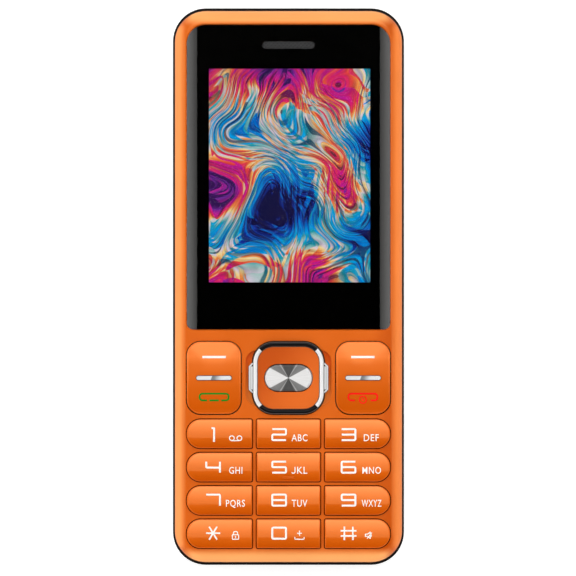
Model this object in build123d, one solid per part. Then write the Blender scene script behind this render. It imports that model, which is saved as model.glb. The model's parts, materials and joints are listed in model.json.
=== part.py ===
from build123d import *
import os
from math import radians, sin

# A bar phone with keys, lying on its back. Sizes are in millimetres and angles in degrees.
# +X is to the right of someone looking at the screen, +Y runs to the earpiece and +Z leaves the screen.
# The origin is the middle of the flat back.

# Display and its window
active_width = 36.7
active_length = 48.6
active_shift = 0.25
window_side_border = 4.8
window_forehead = 10.0
window_chin = 10.7
window_top_radius = 4.3
window_bottom_radius = 1.5
window_clearance = 0.05
lens_thickness = 1.0
lens_slope_width = 2.35
lens_slope_drop = 0.4
lens_slope_bulge = 0.05
print_thickness = 0.1
gasket_width = 1.1
gasket_margin = 0.5
gasket_clearance = 0.2
panel_side_margin = 2.5
panel_top_margin = 2.9
panel_bottom_margin = 7.8
panel_thickness = 1.0
backlight_thickness = 1.1
tray_wall = 0.4
tray_floor = 0.2
flex_thickness = 0.12
flex_width = 20.0
flex_length = 22.0
flex_overhang = 2.6
flex_air = 0.03
window_lip = 0.22

# Earpiece
earpiece_drop = 4.6
earpiece_width = 11.9
earpiece_height = 1.73
earpiece_mesh_clearance = 0.03
earpiece_mesh_thickness = 0.3
earpiece_mesh_depth = 0.3
receiver_width = 12.0
receiver_length = 5.6
receiver_height = 2.2
receiver_rise = 0.9

# Front housing
front_side_step = 0.45
front_end_step = 0.65
front_edge_radius = 2.6
side_flat = 0.1
top_flat = 0.55
bottom_flat = 0.6
plate_thickness = 1.7
plate_air = 0.15
front_wall_inset = 2.2
lip_inset = 1.2
lip_depth = 0.6
window_gap = 2.8
pad_gap = 1.15
bezel_relief = 0.15

# Number keys
key_rows = 4
key_height = 6.6
key_row_gap = 0.98
key_column_gap = 1.0
middle_key_width = 14.5
key_corner_radius = 0.35
key_round_end_share = 0.97
key_clearance = 0.2
key_proud = 0.6
key_crown_drop = 0.27
key_crown_shift = 1.4
key_edge_radius = 0.3
key_flange_share = 0.36
key_flange_thickness = 0.5
key_flange_air = 0.05
key_travel = 0.4
key_bottoming_air = 0.05
plunger_radius = 1.6
ridge_width = 2.8
ridge_length = 0.55
ridge_height = 0.2
ridge_rounding = 0.15
ridge_drop = 2.4

# Side keys
side_key_gap = 1.05
side_key_length = 16.5
side_key_radius = 3.2
side_key_proud = 0.65
side_key_crown_drop = 0.38
side_key_crown_shift = 1.45
side_key_edge_radius = 0.4
side_key_depth = 2.4
side_key_tilt = 2.5
lug_width = 0.5
lug_length = 2.4
lug_height = 0.5
lug_air = 0.1
side_plunger_offset = 4.7
side_plunger_radius = 0.9
fulcrum_width = 6.0
fulcrum_length = 0.8
fulcrum_air = 0.05
bar_margin = 2.075
bar_height = 1.15
bar_depth = 0.6
bar_proud = 0.14

# Four-way key and centre key
nav_width = 16.2
nav_length = 16.4
nav_radius = 4.7
nav_band = 1.0
nav_clearance = 0.25
nav_tilt = 2.0
nav_swing_air = 0.05
nav_flange_width = 0.55
nav_flange_thickness = 0.45
nav_ring_proud = 0.72
nav_ring_rounding = 0.42
nav_plate_proud = 0.35
nav_plate_rounding = 0.15
nub_radius = 0.8
nub_air = 0.12
wing_width = 1.0
wing_length = 7.0
wing_thickness = 0.5
wing_chamfer = 0.8
wing_below_ring = 0.35
recess_width = 19.5
recess_length = 12.6
recess_radius = 2.6
recess_depth = 0.7
web_width = 8.0
web_length = 11.0
web_thickness = 0.3
web_radius = 2.0
web_air = 0.2
centre_key_width = 10.7
centre_key_height = 6.0
centre_key_clearance = 0.2
centre_key_travel = 0.3
centre_key_proud = 0.5
centre_key_rounding = 0.35
centre_key_flange = 0.5
centre_key_flange_thickness = 0.45
centre_pocket_clearance = 0.2

# Keypad sheet and mat
sheet_thickness = 0.1
dome_height = 0.15
dome_radius = 2.1
mat_thickness = 0.45
mat_margin = 0.3

# Board
board_thickness = 0.8
board_inset = 2.6
board_above_split = 0.1
chip_height = 1.1
chip_width = 10.0
chip_length_share = 0.53
shield_wall = 0.2
shield_height = 1.6
shield_width = 17.0
shield_gap = 1.6
shield_rise = 4.0
shield_camera_gap = 5.14

# Sockets on the board
sim_width = 15.5
sim_length = 17.0
sim_spacing = 16.6
sim_height = 1.35
sim_drop = 2.6
sim_slot_height = 0.85
sim_wall = 0.25
card_width = 14.0
card_length = 14.6
card_gap = 2.2
socket_clearance = 0.3
connector_width = 9.0
connector_length = 2.8
connector_height = 4.1
spring_width = 1.0
spring_height = 1.6
spring_reach = 0.2
spring_pitch = 2.6
usb_width = 7.5
usb_height = 2.5
usb_depth = 5.6
usb_corner = 0.5
usb_wall = 0.3
usb_setback = 0.4
usb_tongue_width = 3.9
usb_tongue_height = 0.6
usb_tongue_setback = 1.0
usb_back = 1.2
usb_hole_clearance = 0.3
jack_screw_gap = 1.9
jack_bore_radius = 1.8
jack_wall = 0.3
jack_width = 6.2
jack_length = 14.0
jack_back = 1.0
jack_hole_clearance = 0.1
jack_air = 0.15
microphone_x = 9.0
microphone_radius = 2.0
microphone_height = 1.2
microphone_setback = 3.6
microphone_hole_radius = 0.45

# Loudspeaker, motor, camera and torch
speaker_width = 20.0
speaker_length = 14.0
speaker_height = 3.6
speaker_gap = 4.2
speaker_mesh_thickness = 0.15
speaker_rib = 0.8
speaker_rib_height = 1.2
speaker_rib_clearance = 0.15
speaker_opening_margin = 2.6
speaker_slots = 5
speaker_slot_width = 12.0
speaker_slot_height = 1.1
speaker_slot_pitch = 1.9
motor_radius = 2.0
motor_length = 8.0
motor_x = 12.5
motor_from_top = 13.4
motor_air = 0.05
motor_bore_clearance = 0.04
shaft_radius = 0.4
shaft_in_motor = 2.0
weight_radius = 1.8
weight_length = 3.0
weight_gap = 0.4
cradle_thickness = 1.2
cradle_width = 5.0
cradle_spacing = 4.6
camera_from_top = 13.4
camera_width = 8.0
speaker_camera_gap = 9.94
camera_barrel_radius = 2.7
camera_barrel_clearance = 0.3
camera_barrel_reach = 0.85
camera_window_radius = 3.6
camera_window_thickness = 0.8
camera_ring_width = 0.85
camera_ring_thickness = 0.95
camera_ring_clearance = 0.05
camera_hole_clearance = 0.15
torch_x = 11.0
torch_lens_radius = 1.6
torch_lens_clearance = 0.05
torch_lens_setback = 0.25
torch_led_width = 3.2
torch_led_length = 2.0
torch_led_height = 2.8
torch_drop = 1.5

# Rear housing
body_corner_radius = 7.5
rear_wall_inset = 2.25
rear_floor = 1.0
rabbet_inset = 1.1
rabbet_depth = 0.7
bay_wall = 0.9
bay_roof = 0.8
bay_roof_air = 0.2
bay_clearance = 0.3
antenna_thickness = 0.15
antenna_width = 34.0
antenna_connector_gap = 2.65
antenna_setback = 5.0
antenna_slots = 3
antenna_slot_width = 1.4
antenna_slot_margin = 3.0

# Screws
shank_radius = 0.7
shank_clearance = 0.02
shank_length = 8.0
shank_board_clearance = 0.3
head_radius = 1.25
head_height = 0.7
head_clearance = 0.15
head_inset = 0.55
cross_width = 0.35
cross_length = 1.5
cross_depth = 0.35
front_boss_radius = 1.2
rear_boss_radius = 2.0
boss_air = 0.1
side_screw_inset = 3.2
corner_screw_side = 5.3
corner_screw_end = 5.75

# Battery and its cover
battery_width = 34.0
battery_length = 54.0
battery_thickness = 4.9
battery_rounding = 0.8
battery_air = 0.2
socket_air = 0.15
cover_wall = 1.1
cover_gap = 0.15
cover_height = 4.0
cover_edge_radius = 3.2
tongue_inset = 0.5
tongue_height = 0.4
tongue_clearance = 0.1
notch_length = 9.0
notch_height = 0.8
notch_depth = 0.4
notch_from_bottom = 24.0

# How far a cutting shape runs past what it cuts
overrun = 1.0

# Heights, from the flat back up
z_floor = cover_wall + cover_gap
z_floor_top = z_floor + rear_floor
z_battery = cover_wall + battery_air
z_battery_top = z_battery + battery_thickness
z_sim = z_battery_top + socket_air
z_board = z_sim + sim_height
z_board_top = z_board + board_thickness
z_split = z_board_top + board_above_split
z_bay_roof_top = z_board - bay_roof_air
z_bay_roof = z_bay_roof_top - bay_roof
z_lcd = z_board_top + flex_thickness + flex_air
z_backlight = z_lcd + tray_floor
z_panel = z_backlight + backlight_thickness
z_panel_top = z_panel + panel_thickness
z_plate = z_panel_top + plate_air
z_face = z_plate + plate_thickness
z_print = z_face - lens_thickness - print_thickness
z_lens = z_print + print_thickness
z_domes_top = z_board_top + sheet_thickness + dome_height
z_mat_top = z_domes_top + mat_thickness

# Plan sizes, from the display outwards
window_width = active_width + 2 * window_side_border
window_length = window_forehead + active_length + window_chin
side_rim = front_side_step + front_edge_radius + side_flat
top_rim = front_end_step + front_edge_radius + top_flat
bottom_rim = front_end_step + front_edge_radius + bottom_flat
body_width = window_width + 2 * side_rim
pad_length = key_rows * key_height + (key_rows - 1) * key_row_gap
body_length = bottom_rim + pad_length + pad_gap + side_key_length + window_gap + window_length + top_rim
front_width = body_width - 2 * front_side_step
front_length = body_length - 2 * front_end_step

# Places along the body
y_bottom = -body_length / 2
y_top = body_length / 2
y_pad = y_bottom + bottom_rim
row_pitch = key_height + key_row_gap
y_side_keys = y_pad + pad_length + pad_gap + side_key_length / 2
y_window_bottom = y_side_keys + side_key_length / 2 + window_gap
y_window = y_window_bottom + window_length / 2
y_active = y_window_bottom + window_chin + active_length / 2
y_earpiece = y_window_bottom + window_length - earpiece_drop
y_camera = y_top - camera_from_top
y_speaker = y_camera - camera_width / 2 - speaker_camera_gap - speaker_length / 2
y_bay_top = y_speaker - speaker_length / 2 - speaker_gap - bay_wall
y_battery = y_bay_top - bay_clearance - battery_length / 2
y_bay_bottom = y_battery - battery_length / 2 - bay_clearance
y_motor = y_top - motor_from_top
y_shields = y_bay_top + bay_wall + shield_rise
shield_length = y_camera - camera_width / 2 - shield_camera_gap - y_shields
chip_length = shield_length * chip_length_share
y_antenna = y_bottom + rear_wall_inset + antenna_setback
antenna_length = y_bay_bottom - connector_length - antenna_connector_gap - y_antenna
jack_x = body_width / 2 - corner_screw_side - rear_boss_radius - jack_screw_gap - jack_width / 2
side_key_width = (window_width - recess_width) / 2 - side_key_gap
bar_width = side_key_width - 2 * bar_margin
x_side_keys = (window_width - side_key_width) / 2
outer_key_width = (window_width - middle_key_width) / 2 - key_column_gap
x_outer_keys = (window_width - outer_key_width) / 2
tray_width = active_width + 2 * panel_side_margin
tray_length = active_length + panel_top_margin + panel_bottom_margin
y_tray = y_active + (panel_top_margin - panel_bottom_margin) / 2
key_flange = key_row_gap * key_flange_share

# Key heights
z_key_flange_top = z_plate - key_flange_air
z_key_low = z_key_flange_top - key_flange_thickness
z_key_plunger = z_mat_top + key_travel + key_bottoming_air
z_key_top = z_face + key_proud
z_side_top = z_face + side_key_proud
z_side_low = z_face - side_key_depth
z_lug_top = z_plate - lug_air
z_side_pivot = z_lug_top - lug_height / 2
side_plunger_swing = (side_plunger_offset + side_plunger_radius) * sin(radians(side_key_tilt))
z_side_plunger = z_mat_top + side_plunger_swing + key_bottoming_air

# Four-way key heights: the flange hangs low enough to clear the plate when both tilts are at their ends
nav_reach = (nav_width + nav_length) / 2 + 2 * nav_flange_width
nav_swing = nav_reach * sin(radians(nav_tilt))
z_nav_flange_top = z_plate - nav_swing - nav_swing_air
z_nav_low = z_nav_flange_top - nav_flange_thickness
z_nav_ring_top = z_face + nav_ring_proud
z_nav_plate_top = z_face + nav_plate_proud
z_web_top = z_nav_low - web_air
z_web = z_web_top - web_thickness
nub_place = nav_width / 2 - nub_radius
nub_swing = (nub_place + nub_radius) * sin(radians(nav_tilt))
z_nub = z_mat_top + nub_swing + nub_air
z_centre_flange = z_web_top + centre_key_travel + web_air
z_centre_flange_top = z_centre_flange + centre_key_flange_thickness
centre_reach = (centre_key_width + centre_key_height) / 2 + 2 * centre_key_flange
z_centre_pocket = z_centre_flange_top + centre_reach * sin(radians(nav_tilt)) + nav_swing_air
z_centre_top = z_face + centre_key_proud


# Outlines


def rounded(width, length, radius, x=0, y=0):
    return Pos(x, y) * RectangleRounded(width, length, radius)


def body_outline(inset):
    return rounded(body_width - 2 * inset, body_length - 2 * inset, body_corner_radius - inset)


def front_outline():
    return rounded(front_width, front_length, body_corner_radius - front_side_step)


def window_outline(grow):
    outline = Rectangle(window_width + 2 * grow, window_length + 2 * grow)
    outline = fillet(outline.vertices().group_by(Axis.Y)[-1], window_top_radius + grow)
    outline = fillet(outline.vertices().group_by(Axis.Y)[0], window_bottom_radius + grow)
    return Pos(0, y_window) * outline


def number_key_outline(column, row, grow):
    """Column is -1, 0 or 1 and row counts up from the bottom. Outer keys have round outer ends."""
    y = y_pad + key_height / 2 + row * row_pitch
    if column == 0:
        return rounded(middle_key_width + 2 * grow, key_height + 2 * grow, key_corner_radius + grow, 0, y)
    outline = Rectangle(outer_key_width + 2 * grow, key_height + 2 * grow)
    outer, inner = (-1, 0) if column > 0 else (0, -1)
    round_end = key_height / 2 * key_round_end_share + grow
    outline = fillet(outline.vertices().group_by(Axis.X)[outer], round_end)
    outline = fillet(outline.vertices().group_by(Axis.X)[inner], key_corner_radius + grow)
    return Pos(column * x_outer_keys, y) * outline


def side_key_outline(side, grow):
    width = side_key_width + 2 * grow
    return rounded(width, side_key_length + 2 * grow, side_key_radius + grow, side * x_side_keys, y_side_keys)


def nav_outline(grow):
    return rounded(nav_width + 2 * grow, nav_length + 2 * grow, nav_radius + grow, 0, y_side_keys)


def centre_key_outline(grow):
    return Pos(0, y_side_keys) * SlotOverall(centre_key_width + 2 * grow, centre_key_height + 2 * grow)


def earpiece_outline(grow):
    return Pos(0, y_earpiece) * SlotOverall(earpiece_width + 2 * grow, earpiece_height + 2 * grow)


def screw_places():
    side_x = body_width / 2 - side_screw_inset
    low_y = y_pad + 2 * key_height + key_row_gap * 3 / 2 - row_pitch
    gap_y = y_window_bottom - window_gap / 2
    corner = (body_width / 2 - corner_screw_side, y_top - corner_screw_end)
    return [(s * x, y) for s in (-1, 1) for x, y in ((side_x, low_y), (side_x, gap_y), corner)]


# Solids that many pieces use


def prism(outline, low, high):
    return extrude(Pos(0, 0, low) * outline, high - low)


def prism_along_y(outline, start, end):
    """The outline is drawn in X and Z."""
    return extrude(Plane.XZ.offset(-start) * outline, start - end)


def block(width, length, low, high, x=0, y=0):
    return Pos(x, y, (low + high) / 2) * Box(width, length, high - low)


def post(radius, low, high, x=0, y=0):
    return Pos(x, y, (low + high) / 2) * Cylinder(radius, high - low)


def rod_along_x(radius, start, end, y, z):
    return Pos((start + end) / 2, y, z) * Rot(0, 90, 0) * Cylinder(radius, end - start)


def rod_along_y(radius, start, end, x, z):
    return Pos(x, (start + end) / 2, z) * Rot(90, 0, 0) * Cylinder(radius, end - start)


def crown_radius(chord, drop):
    return chord * chord / (8 * drop) + drop / 2


def crowned_along_y(solid, chord, drop, width, top, x, y):
    """Cut the solid's top to an arc that falls by drop at both ends of its length."""
    radius = crown_radius(chord, drop)
    return solid & rod_along_x(radius, x - width, x + width, y, top - radius)


def domed(solid, chord, drop, top, x, y):
    """Cut the solid's top to a dome that falls by drop at both ends of the chord."""
    radius = crown_radius(chord, drop)
    return solid & (Pos(x, y, top - radius) * Rot(0, 0, 90) * Sphere(radius))


# Front housing


def key_openings():
    low, high = z_plate - overrun, z_face + overrun
    cuts = prism(nav_outline(nav_clearance), low, high)
    for side in (-1, 1):
        cuts += prism(side_key_outline(side, key_clearance), low, high)
    for row in range(key_rows):
        for column in (-1, 0, 1):
            cuts += prism(number_key_outline(column, row, key_clearance), low, high)
    return cuts


def gasket_outline(grow):
    margin = gasket_margin + gasket_width + grow
    outline = Rectangle(active_width + 2 * margin, active_length + 2 * margin)
    return Pos(active_shift, y_active) * outline


def front_housing():
    shell = prism(front_outline(), z_split, z_face)
    shell = fillet(shell.edges().group_by(Axis.Z)[-1], front_edge_radius)
    shell += prism(body_outline(lip_inset), z_split - lip_depth, z_split + overrun)
    shell -= prism(body_outline(front_wall_inset), z_split - lip_depth - overrun, z_plate)
    shell -= prism(window_outline(window_clearance), z_print, z_face + overrun)
    lip_line = shell.edges().filter_by(
        lambda edge: abs(edge.center().Z - z_face) < window_clearance
        and abs(edge.center().Y - y_window_bottom) < window_bottom_radius
        and abs(edge.center().X) < window_width / 2 - window_clearance
    )
    shell = chamfer(lip_line, window_lip)
    shell -= prism(gasket_outline(gasket_clearance), z_plate - overrun, z_print + overrun)
    shell -= prism(earpiece_outline(0), z_plate - overrun, z_print + overrun)
    recess = rounded(recess_width, recess_length, recess_radius, 0, y_side_keys)
    shell -= prism(recess, z_face - recess_depth, z_face + overrun)
    shell -= key_openings()
    for x, y in screw_places():
        shell += post(front_boss_radius, z_split, z_plate + bezel_relief, x, y)
    for x, y in screw_places():
        screw_end = z_floor + head_inset + head_height + shank_length
        shell -= post(shank_radius + shank_clearance, z_split - overrun, screw_end, x, y)
    return shell


# Display


def display_window():
    lens = prism(window_outline(0), z_lens, z_face)
    inner = window_width / 2 - lens_slope_width
    outer = window_width / 2 + window_clearance
    low = z_face - lens_slope_drop
    middle = ((inner + outer) / 2, (z_face + low) / 2 + lens_slope_bulge)
    profile = ThreePointArc((inner, z_face), middle, (outer, low))
    profile += Polyline((outer, low), (outer + overrun, low), (outer + overrun, z_face + overrun))
    profile += Polyline((outer + overrun, z_face + overrun), (inner, z_face + overrun), (inner, z_face))
    side_cut = prism_along_y(make_face(profile), y_window - window_length, y_window + window_length)
    lens -= side_cut
    lens -= mirror(side_cut, Plane.YZ)
    return lens - prism(earpiece_outline(0), z_lens - overrun, z_face + overrun)


def window_print():
    sheet = prism(window_outline(-window_clearance), z_print, z_lens)
    picture = Pos(active_shift, y_active) * Rectangle(active_width, active_length)
    sheet -= prism(picture, z_print - overrun, z_lens + overrun)
    return sheet - prism(earpiece_outline(0), z_print - overrun, z_lens + overrun)


def display_gasket():
    opening = Rectangle(active_width + 2 * gasket_margin, active_length + 2 * gasket_margin)
    opening = Pos(active_shift, y_active) * opening
    frame = prism(gasket_outline(0), z_panel_top, z_print)
    return frame - prism(opening, z_panel_top - overrun, z_print + overrun)


def tray_block(inset, low, high):
    return block(tray_width - 2 * inset, tray_length - 2 * inset, low, high, active_shift, y_tray)


def lcd_frame():
    return tray_block(0, z_lcd, z_panel_top) - tray_block(tray_wall, z_backlight, z_panel_top + overrun)


def lcd_backlight():
    return tray_block(tray_wall, z_backlight, z_panel)


def lcd_panel():
    return tray_block(tray_wall, z_panel, z_panel_top)


def lcd_flex():
    y = y_tray - tray_length / 2 - flex_overhang + flex_length / 2
    return block(flex_width, flex_length, z_board_top, z_board_top + flex_thickness, active_shift, y)


# Earpiece


def earpiece_mesh():
    high = z_face - earpiece_mesh_depth
    return prism(earpiece_outline(-earpiece_mesh_clearance), high - earpiece_mesh_thickness, high)


def earpiece_receiver():
    low = z_board_top + flex_thickness + flex_air
    body = rounded(receiver_width, receiver_length, receiver_rise, 0, y_earpiece + receiver_rise)
    return prism(body, low, low + receiver_height)


# Number keys


def number_key(column, row):
    """The crown is highest below the key's middle, so its face leans to the screen."""
    x = column * x_outer_keys
    y = y_pad + key_height / 2 + row * row_pitch
    cap = prism(number_key_outline(column, row, 0), z_key_low, z_key_top)
    crest = y - key_crown_shift
    cap = crowned_along_y(cap, key_height, key_crown_drop, outer_key_width, z_key_top, x, crest)
    cap = fillet(cap.faces().sort_by(Axis.Z)[-1].edges(), key_edge_radius)
    cap += prism(number_key_outline(column, row, key_flange), z_key_low, z_key_flange_top)
    return cap + post(plunger_radius, z_key_plunger, z_key_low + overrun, x, y)


def raised_ridge(row):
    """The bar on the middle key that a thumb feels for."""
    y = y_pad + key_height / 2 + row * row_pitch - ridge_drop
    drop = (ridge_drop - key_crown_shift) ** 2 / (2 * crown_radius(key_height, key_crown_drop))
    high = z_key_top - drop + ridge_height
    ridge = rounded(ridge_width, ridge_length, ridge_length * key_round_end_share / 2, 0, y)
    ridge = prism(ridge, z_key_flange_top, high)
    return fillet(ridge.edges().group_by(Axis.Z)[-1], ridge_rounding)


# Side keys


def side_key(side):
    x = side * x_side_keys
    cap = prism(side_key_outline(side, 0), z_side_low, z_side_top)
    crest = y_side_keys + side_key_crown_shift
    cap = domed(cap, side_key_length, side_key_crown_drop, z_side_top, x, crest)
    cap = fillet(cap.faces().sort_by(Axis.Z)[-1].edges(), side_key_edge_radius)
    lugs = side_key_width + 2 * lug_width
    cap += block(lugs, lug_length, z_lug_top - lug_height, z_lug_top, x, y_side_keys)
    cap += block(fulcrum_width, fulcrum_length, z_mat_top + fulcrum_air, z_side_low + overrun, x, y_side_keys)
    for end in (-1, 1):
        y = y_side_keys + end * side_plunger_offset
        cap += post(side_plunger_radius, z_side_plunger, z_side_low + overrun, x, y)
    return cap - prism(bar_outline(side), z_side_top - bar_depth, z_side_top + overrun)


def bar_outline(side):
    return Pos(side * x_side_keys, y_side_keys) * SlotOverall(bar_width, bar_height)


def side_key_bar(side):
    bar = prism(bar_outline(side), z_side_top - bar_depth, z_side_top + bar_proud)
    return fillet(bar.edges().group_by(Axis.Z)[-1], bar_proud)


# Four-way key


def nav_plate():
    core = prism(nav_outline(-nav_band), z_nav_low, z_nav_plate_top)
    core = fillet(core.edges().group_by(Axis.Z)[-1], nav_plate_rounding)
    core += prism(nav_outline(nav_flange_width), z_nav_low, z_nav_flange_top)
    for x, y in ((nub_place, 0), (-nub_place, 0), (0, nub_place), (0, -nub_place)):
        core += post(nub_radius, z_nub, z_nav_flange_top, x, y_side_keys + y)
    core -= prism(centre_key_outline(centre_key_clearance), z_nav_low - overrun, z_face + overrun)
    pocket = centre_key_outline(centre_key_flange + centre_pocket_clearance)
    return core - prism(pocket, z_nav_low - overrun, z_centre_pocket)


def nav_ring():
    band = nav_outline(0) - nav_outline(-nav_band)
    ring = prism(band, z_nav_flange_top, z_nav_ring_top)
    return fillet(ring.edges().group_by(Axis.Z)[-1], nav_ring_rounding)


def nav_wings():
    high = z_nav_ring_top - wing_below_ring
    start = nav_width / 2
    half = wing_length / 2
    outline = Polyline(
        (start, -half),
        (start + wing_width - wing_chamfer, -half),
        (start + wing_width, -half + wing_chamfer),
        (start + wing_width, half - wing_chamfer),
        (start + wing_width - wing_chamfer, half),
        (start, half),
        close=True,
    )
    wing = prism(Pos(0, y_side_keys) * make_face(outline), high - wing_thickness, high)
    return wing + mirror(wing, Plane.YZ)


def nav_web():
    sheet = rounded(web_width, web_length, web_radius, 0, y_side_keys)
    web = prism(sheet, z_web, z_web_top)
    return web - post(plunger_radius + socket_clearance, z_web - overrun, z_web_top + overrun, 0, y_side_keys)


def ok_key():
    cap = prism(centre_key_outline(0), z_centre_flange, z_centre_top)
    cap = fillet(cap.edges().group_by(Axis.Z)[-1], centre_key_rounding)
    cap += prism(centre_key_outline(centre_key_flange), z_centre_flange, z_centre_flange_top)
    plunger_low = z_mat_top + centre_key_travel + key_bottoming_air
    return cap + post(plunger_radius, plunger_low, z_centre_flange + overrun, 0, y_side_keys)


# Keypad sheet and mat


def mat_outline():
    width = 2 * (body_width / 2 - side_screw_inset - front_boss_radius - mat_margin)
    length = pad_length + pad_gap + side_key_length
    return Pos(0, y_pad + length / 2) * Rectangle(width, length)


def dome_places():
    places = [(0, y_side_keys)]
    for x, y in ((nub_place, 0), (-nub_place, 0), (0, nub_place), (0, -nub_place)):
        places.append((x, y_side_keys + y))
    for side in (-1, 1):
        for end in (-1, 1):
            places.append((side * x_side_keys, y_side_keys + end * side_plunger_offset))
    for row in range(key_rows):
        for column in (-1, 0, 1):
            places.append((column * x_outer_keys, y_pad + key_height / 2 + row * row_pitch))
    return places


def dome_sheet():
    low = z_board_top + sheet_thickness
    sheet = prism(mat_outline(), z_board_top, low)
    for x, y in dome_places():
        sheet += post(dome_radius, low - sheet_thickness / 2, z_domes_top, x, y)
    return sheet


def keypad_mat():
    return prism(mat_outline(), z_domes_top, z_mat_top)


# Board and what is soldered to it


def jack_block(grow):
    high = z_split - jack_air + grow
    low = z_split - jack_air - 2 * (jack_bore_radius + jack_wall) - grow
    end = y_top - rear_wall_inset - jack_air
    return block(jack_width + 2 * grow, jack_length + 2 * grow, low, high, -jack_x, end - jack_length / 2)


def main_board():
    board = prism(body_outline(board_inset), z_board, z_board_top)
    board -= jack_block(jack_air)
    for x, y in screw_places():
        hole = shank_radius + shank_board_clearance
        board -= post(hole, z_board - overrun, z_board_top + overrun, x, y)
    return board


def shield_place(side):
    x = side * (shield_width + shield_gap) / 2
    return x, y_shields + shield_length / 2


def shield(side):
    x, y = shield_place(side)
    low = z_board - shield_height
    can = block(shield_width, shield_length, low, z_board, x, y)
    width, length = shield_width - 2 * shield_wall, shield_length - 2 * shield_wall
    return can - block(width, length, low + shield_wall, z_board + overrun, x, y)


def board_chips():
    chips = []
    for side in (-1, 1):
        x, y = shield_place(side)
        chips.append(block(chip_width, chip_length, z_board - chip_height, z_board, x, y))
    return chips[0] + chips[1]


def sim_place(side):
    return side * sim_spacing / 2, y_bay_top - sim_drop - sim_length / 2


def card_place():
    return 0, y_bay_top - sim_drop - sim_length - card_gap - card_length / 2


def socket(width, length, place):
    """A flat tray that takes a card from its lower end."""
    x, y = place
    body = block(width, length, z_sim, z_board, x, y)
    slot_top = z_board - sim_wall
    slot = block(width - 2 * sim_wall, length, slot_top - sim_slot_height, slot_top, x, y - sim_wall)
    return body - slot


def battery_connector():
    y = y_bay_bottom - connector_length / 2
    low = z_board - connector_height
    body = block(connector_width, connector_length, low, z_board, 0, y)
    face = y_bay_bottom + spring_reach / 2
    for step in (-1, 0, 1):
        high = low + spring_height
        body += block(spring_width, spring_reach, low, high, step * spring_pitch, face)
    return body


def usb_port():
    z = z_board - usb_height / 2
    start = y_bottom + usb_setback
    end = start + usb_depth
    outer = Pos(0, z) * RectangleRounded(usb_width, usb_height, usb_corner)
    width, height = usb_width - 2 * usb_wall, usb_height - 2 * usb_wall
    inner = Pos(0, z) * RectangleRounded(width, height, usb_corner - usb_wall)
    shell = prism_along_y(outer, start, end) - prism_along_y(inner, start - overrun, end - usb_back)
    tongue = Pos(0, z) * Rectangle(usb_tongue_width, usb_tongue_height)
    return shell + prism_along_y(tongue, start + usb_tongue_setback, end)


def jack_z():
    return z_split - jack_air - jack_bore_radius - jack_wall


def headphone_jack():
    end = y_top - rear_wall_inset - jack_air
    body = jack_block(0)
    return body - rod_along_y(jack_bore_radius, end - jack_length + jack_back, end + overrun, -jack_x, jack_z())


def microphone():
    y = y_bottom + rear_wall_inset + microphone_setback
    return post(microphone_radius, z_board - microphone_height, z_board, microphone_x, y)


def torch_z():
    return z_board - torch_drop


def torch_led():
    y = y_top - board_inset - torch_led_length / 2 - shank_board_clearance
    return block(torch_led_width, torch_led_length, z_board - torch_led_height, z_board, torch_x, y)


def torch_lens():
    return rod_along_y(torch_lens_radius, y_top - board_inset, y_top - torch_lens_setback, torch_x, torch_z())


# Loudspeaker


def loudspeaker():
    low = z_floor_top + speaker_mesh_thickness
    body = rounded(speaker_width, speaker_length, speaker_rib, 0, y_speaker)
    return prism(body, low, low + speaker_height)


def speaker_mesh():
    width, length = speaker_width - speaker_rib, speaker_length - speaker_rib
    return block(width, length, z_floor_top, z_floor_top + speaker_mesh_thickness, 0, y_speaker)


# Vibration motor


def motor_z():
    return z_board - motor_radius - motor_air


def vibration_motor():
    start, end = motor_x - motor_length / 2, motor_x + motor_length / 2
    body = rod_along_x(motor_radius, start, end, y_motor, motor_z())
    bore = shaft_radius + motor_bore_clearance
    return body - rod_along_x(bore, end - shaft_in_motor - motor_air, end + overrun, y_motor, motor_z())


def vibration_weight():
    end = motor_x + motor_length / 2
    start = end + weight_gap
    shaft = rod_along_x(shaft_radius, end - shaft_in_motor, start + weight_length, y_motor, motor_z())
    disc = rod_along_x(weight_radius, start, start + weight_length, y_motor, motor_z())
    upper = block(4 * weight_length, 4 * weight_radius, motor_z(), z_board_top, start, y_motor)
    return shaft + (disc - upper)


# Camera


def camera_module():
    body = block(camera_width, camera_width, z_floor_top, z_board, 0, y_camera)
    low = z_floor_top - camera_barrel_reach
    return body + post(camera_barrel_radius, low, z_floor_top + overrun, 0, y_camera)


def camera_window():
    return post(camera_window_radius, z_floor - camera_window_thickness, z_floor, 0, y_camera)


def camera_ring_radii():
    inner = camera_window_radius + camera_ring_clearance
    return inner, inner + camera_ring_width


def camera_ring():
    inner, outer = camera_ring_radii()
    low = z_floor - camera_ring_thickness
    ring = post(outer, low, z_floor, 0, y_camera)
    return ring - post(inner, low - overrun, z_floor + overrun, 0, y_camera)


# Rear housing


def battery_block(grow, low, high):
    return block(battery_width + 2 * grow, battery_length + 2 * grow, low, high, 0, y_battery)


def rear_shell():
    skirt = prism(body_outline(z_floor), z_floor, cover_height + overrun)
    skirt = fillet(skirt.edges().group_by(Axis.Z)[0], cover_edge_radius - z_floor)
    outer = skirt + prism(body_outline(0), cover_height, z_split)
    cavity = prism(body_outline(rear_wall_inset), z_floor_top, z_split + overrun)
    cavity += prism(body_outline(rabbet_inset), z_split - rabbet_depth, z_split + overrun)
    return outer, cavity


def tongue_groove():
    ring = body_outline(tongue_inset - tongue_clearance) - body_outline(z_floor)
    return prism(ring, cover_height - overrun, cover_height + tongue_height + tongue_clearance)


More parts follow.
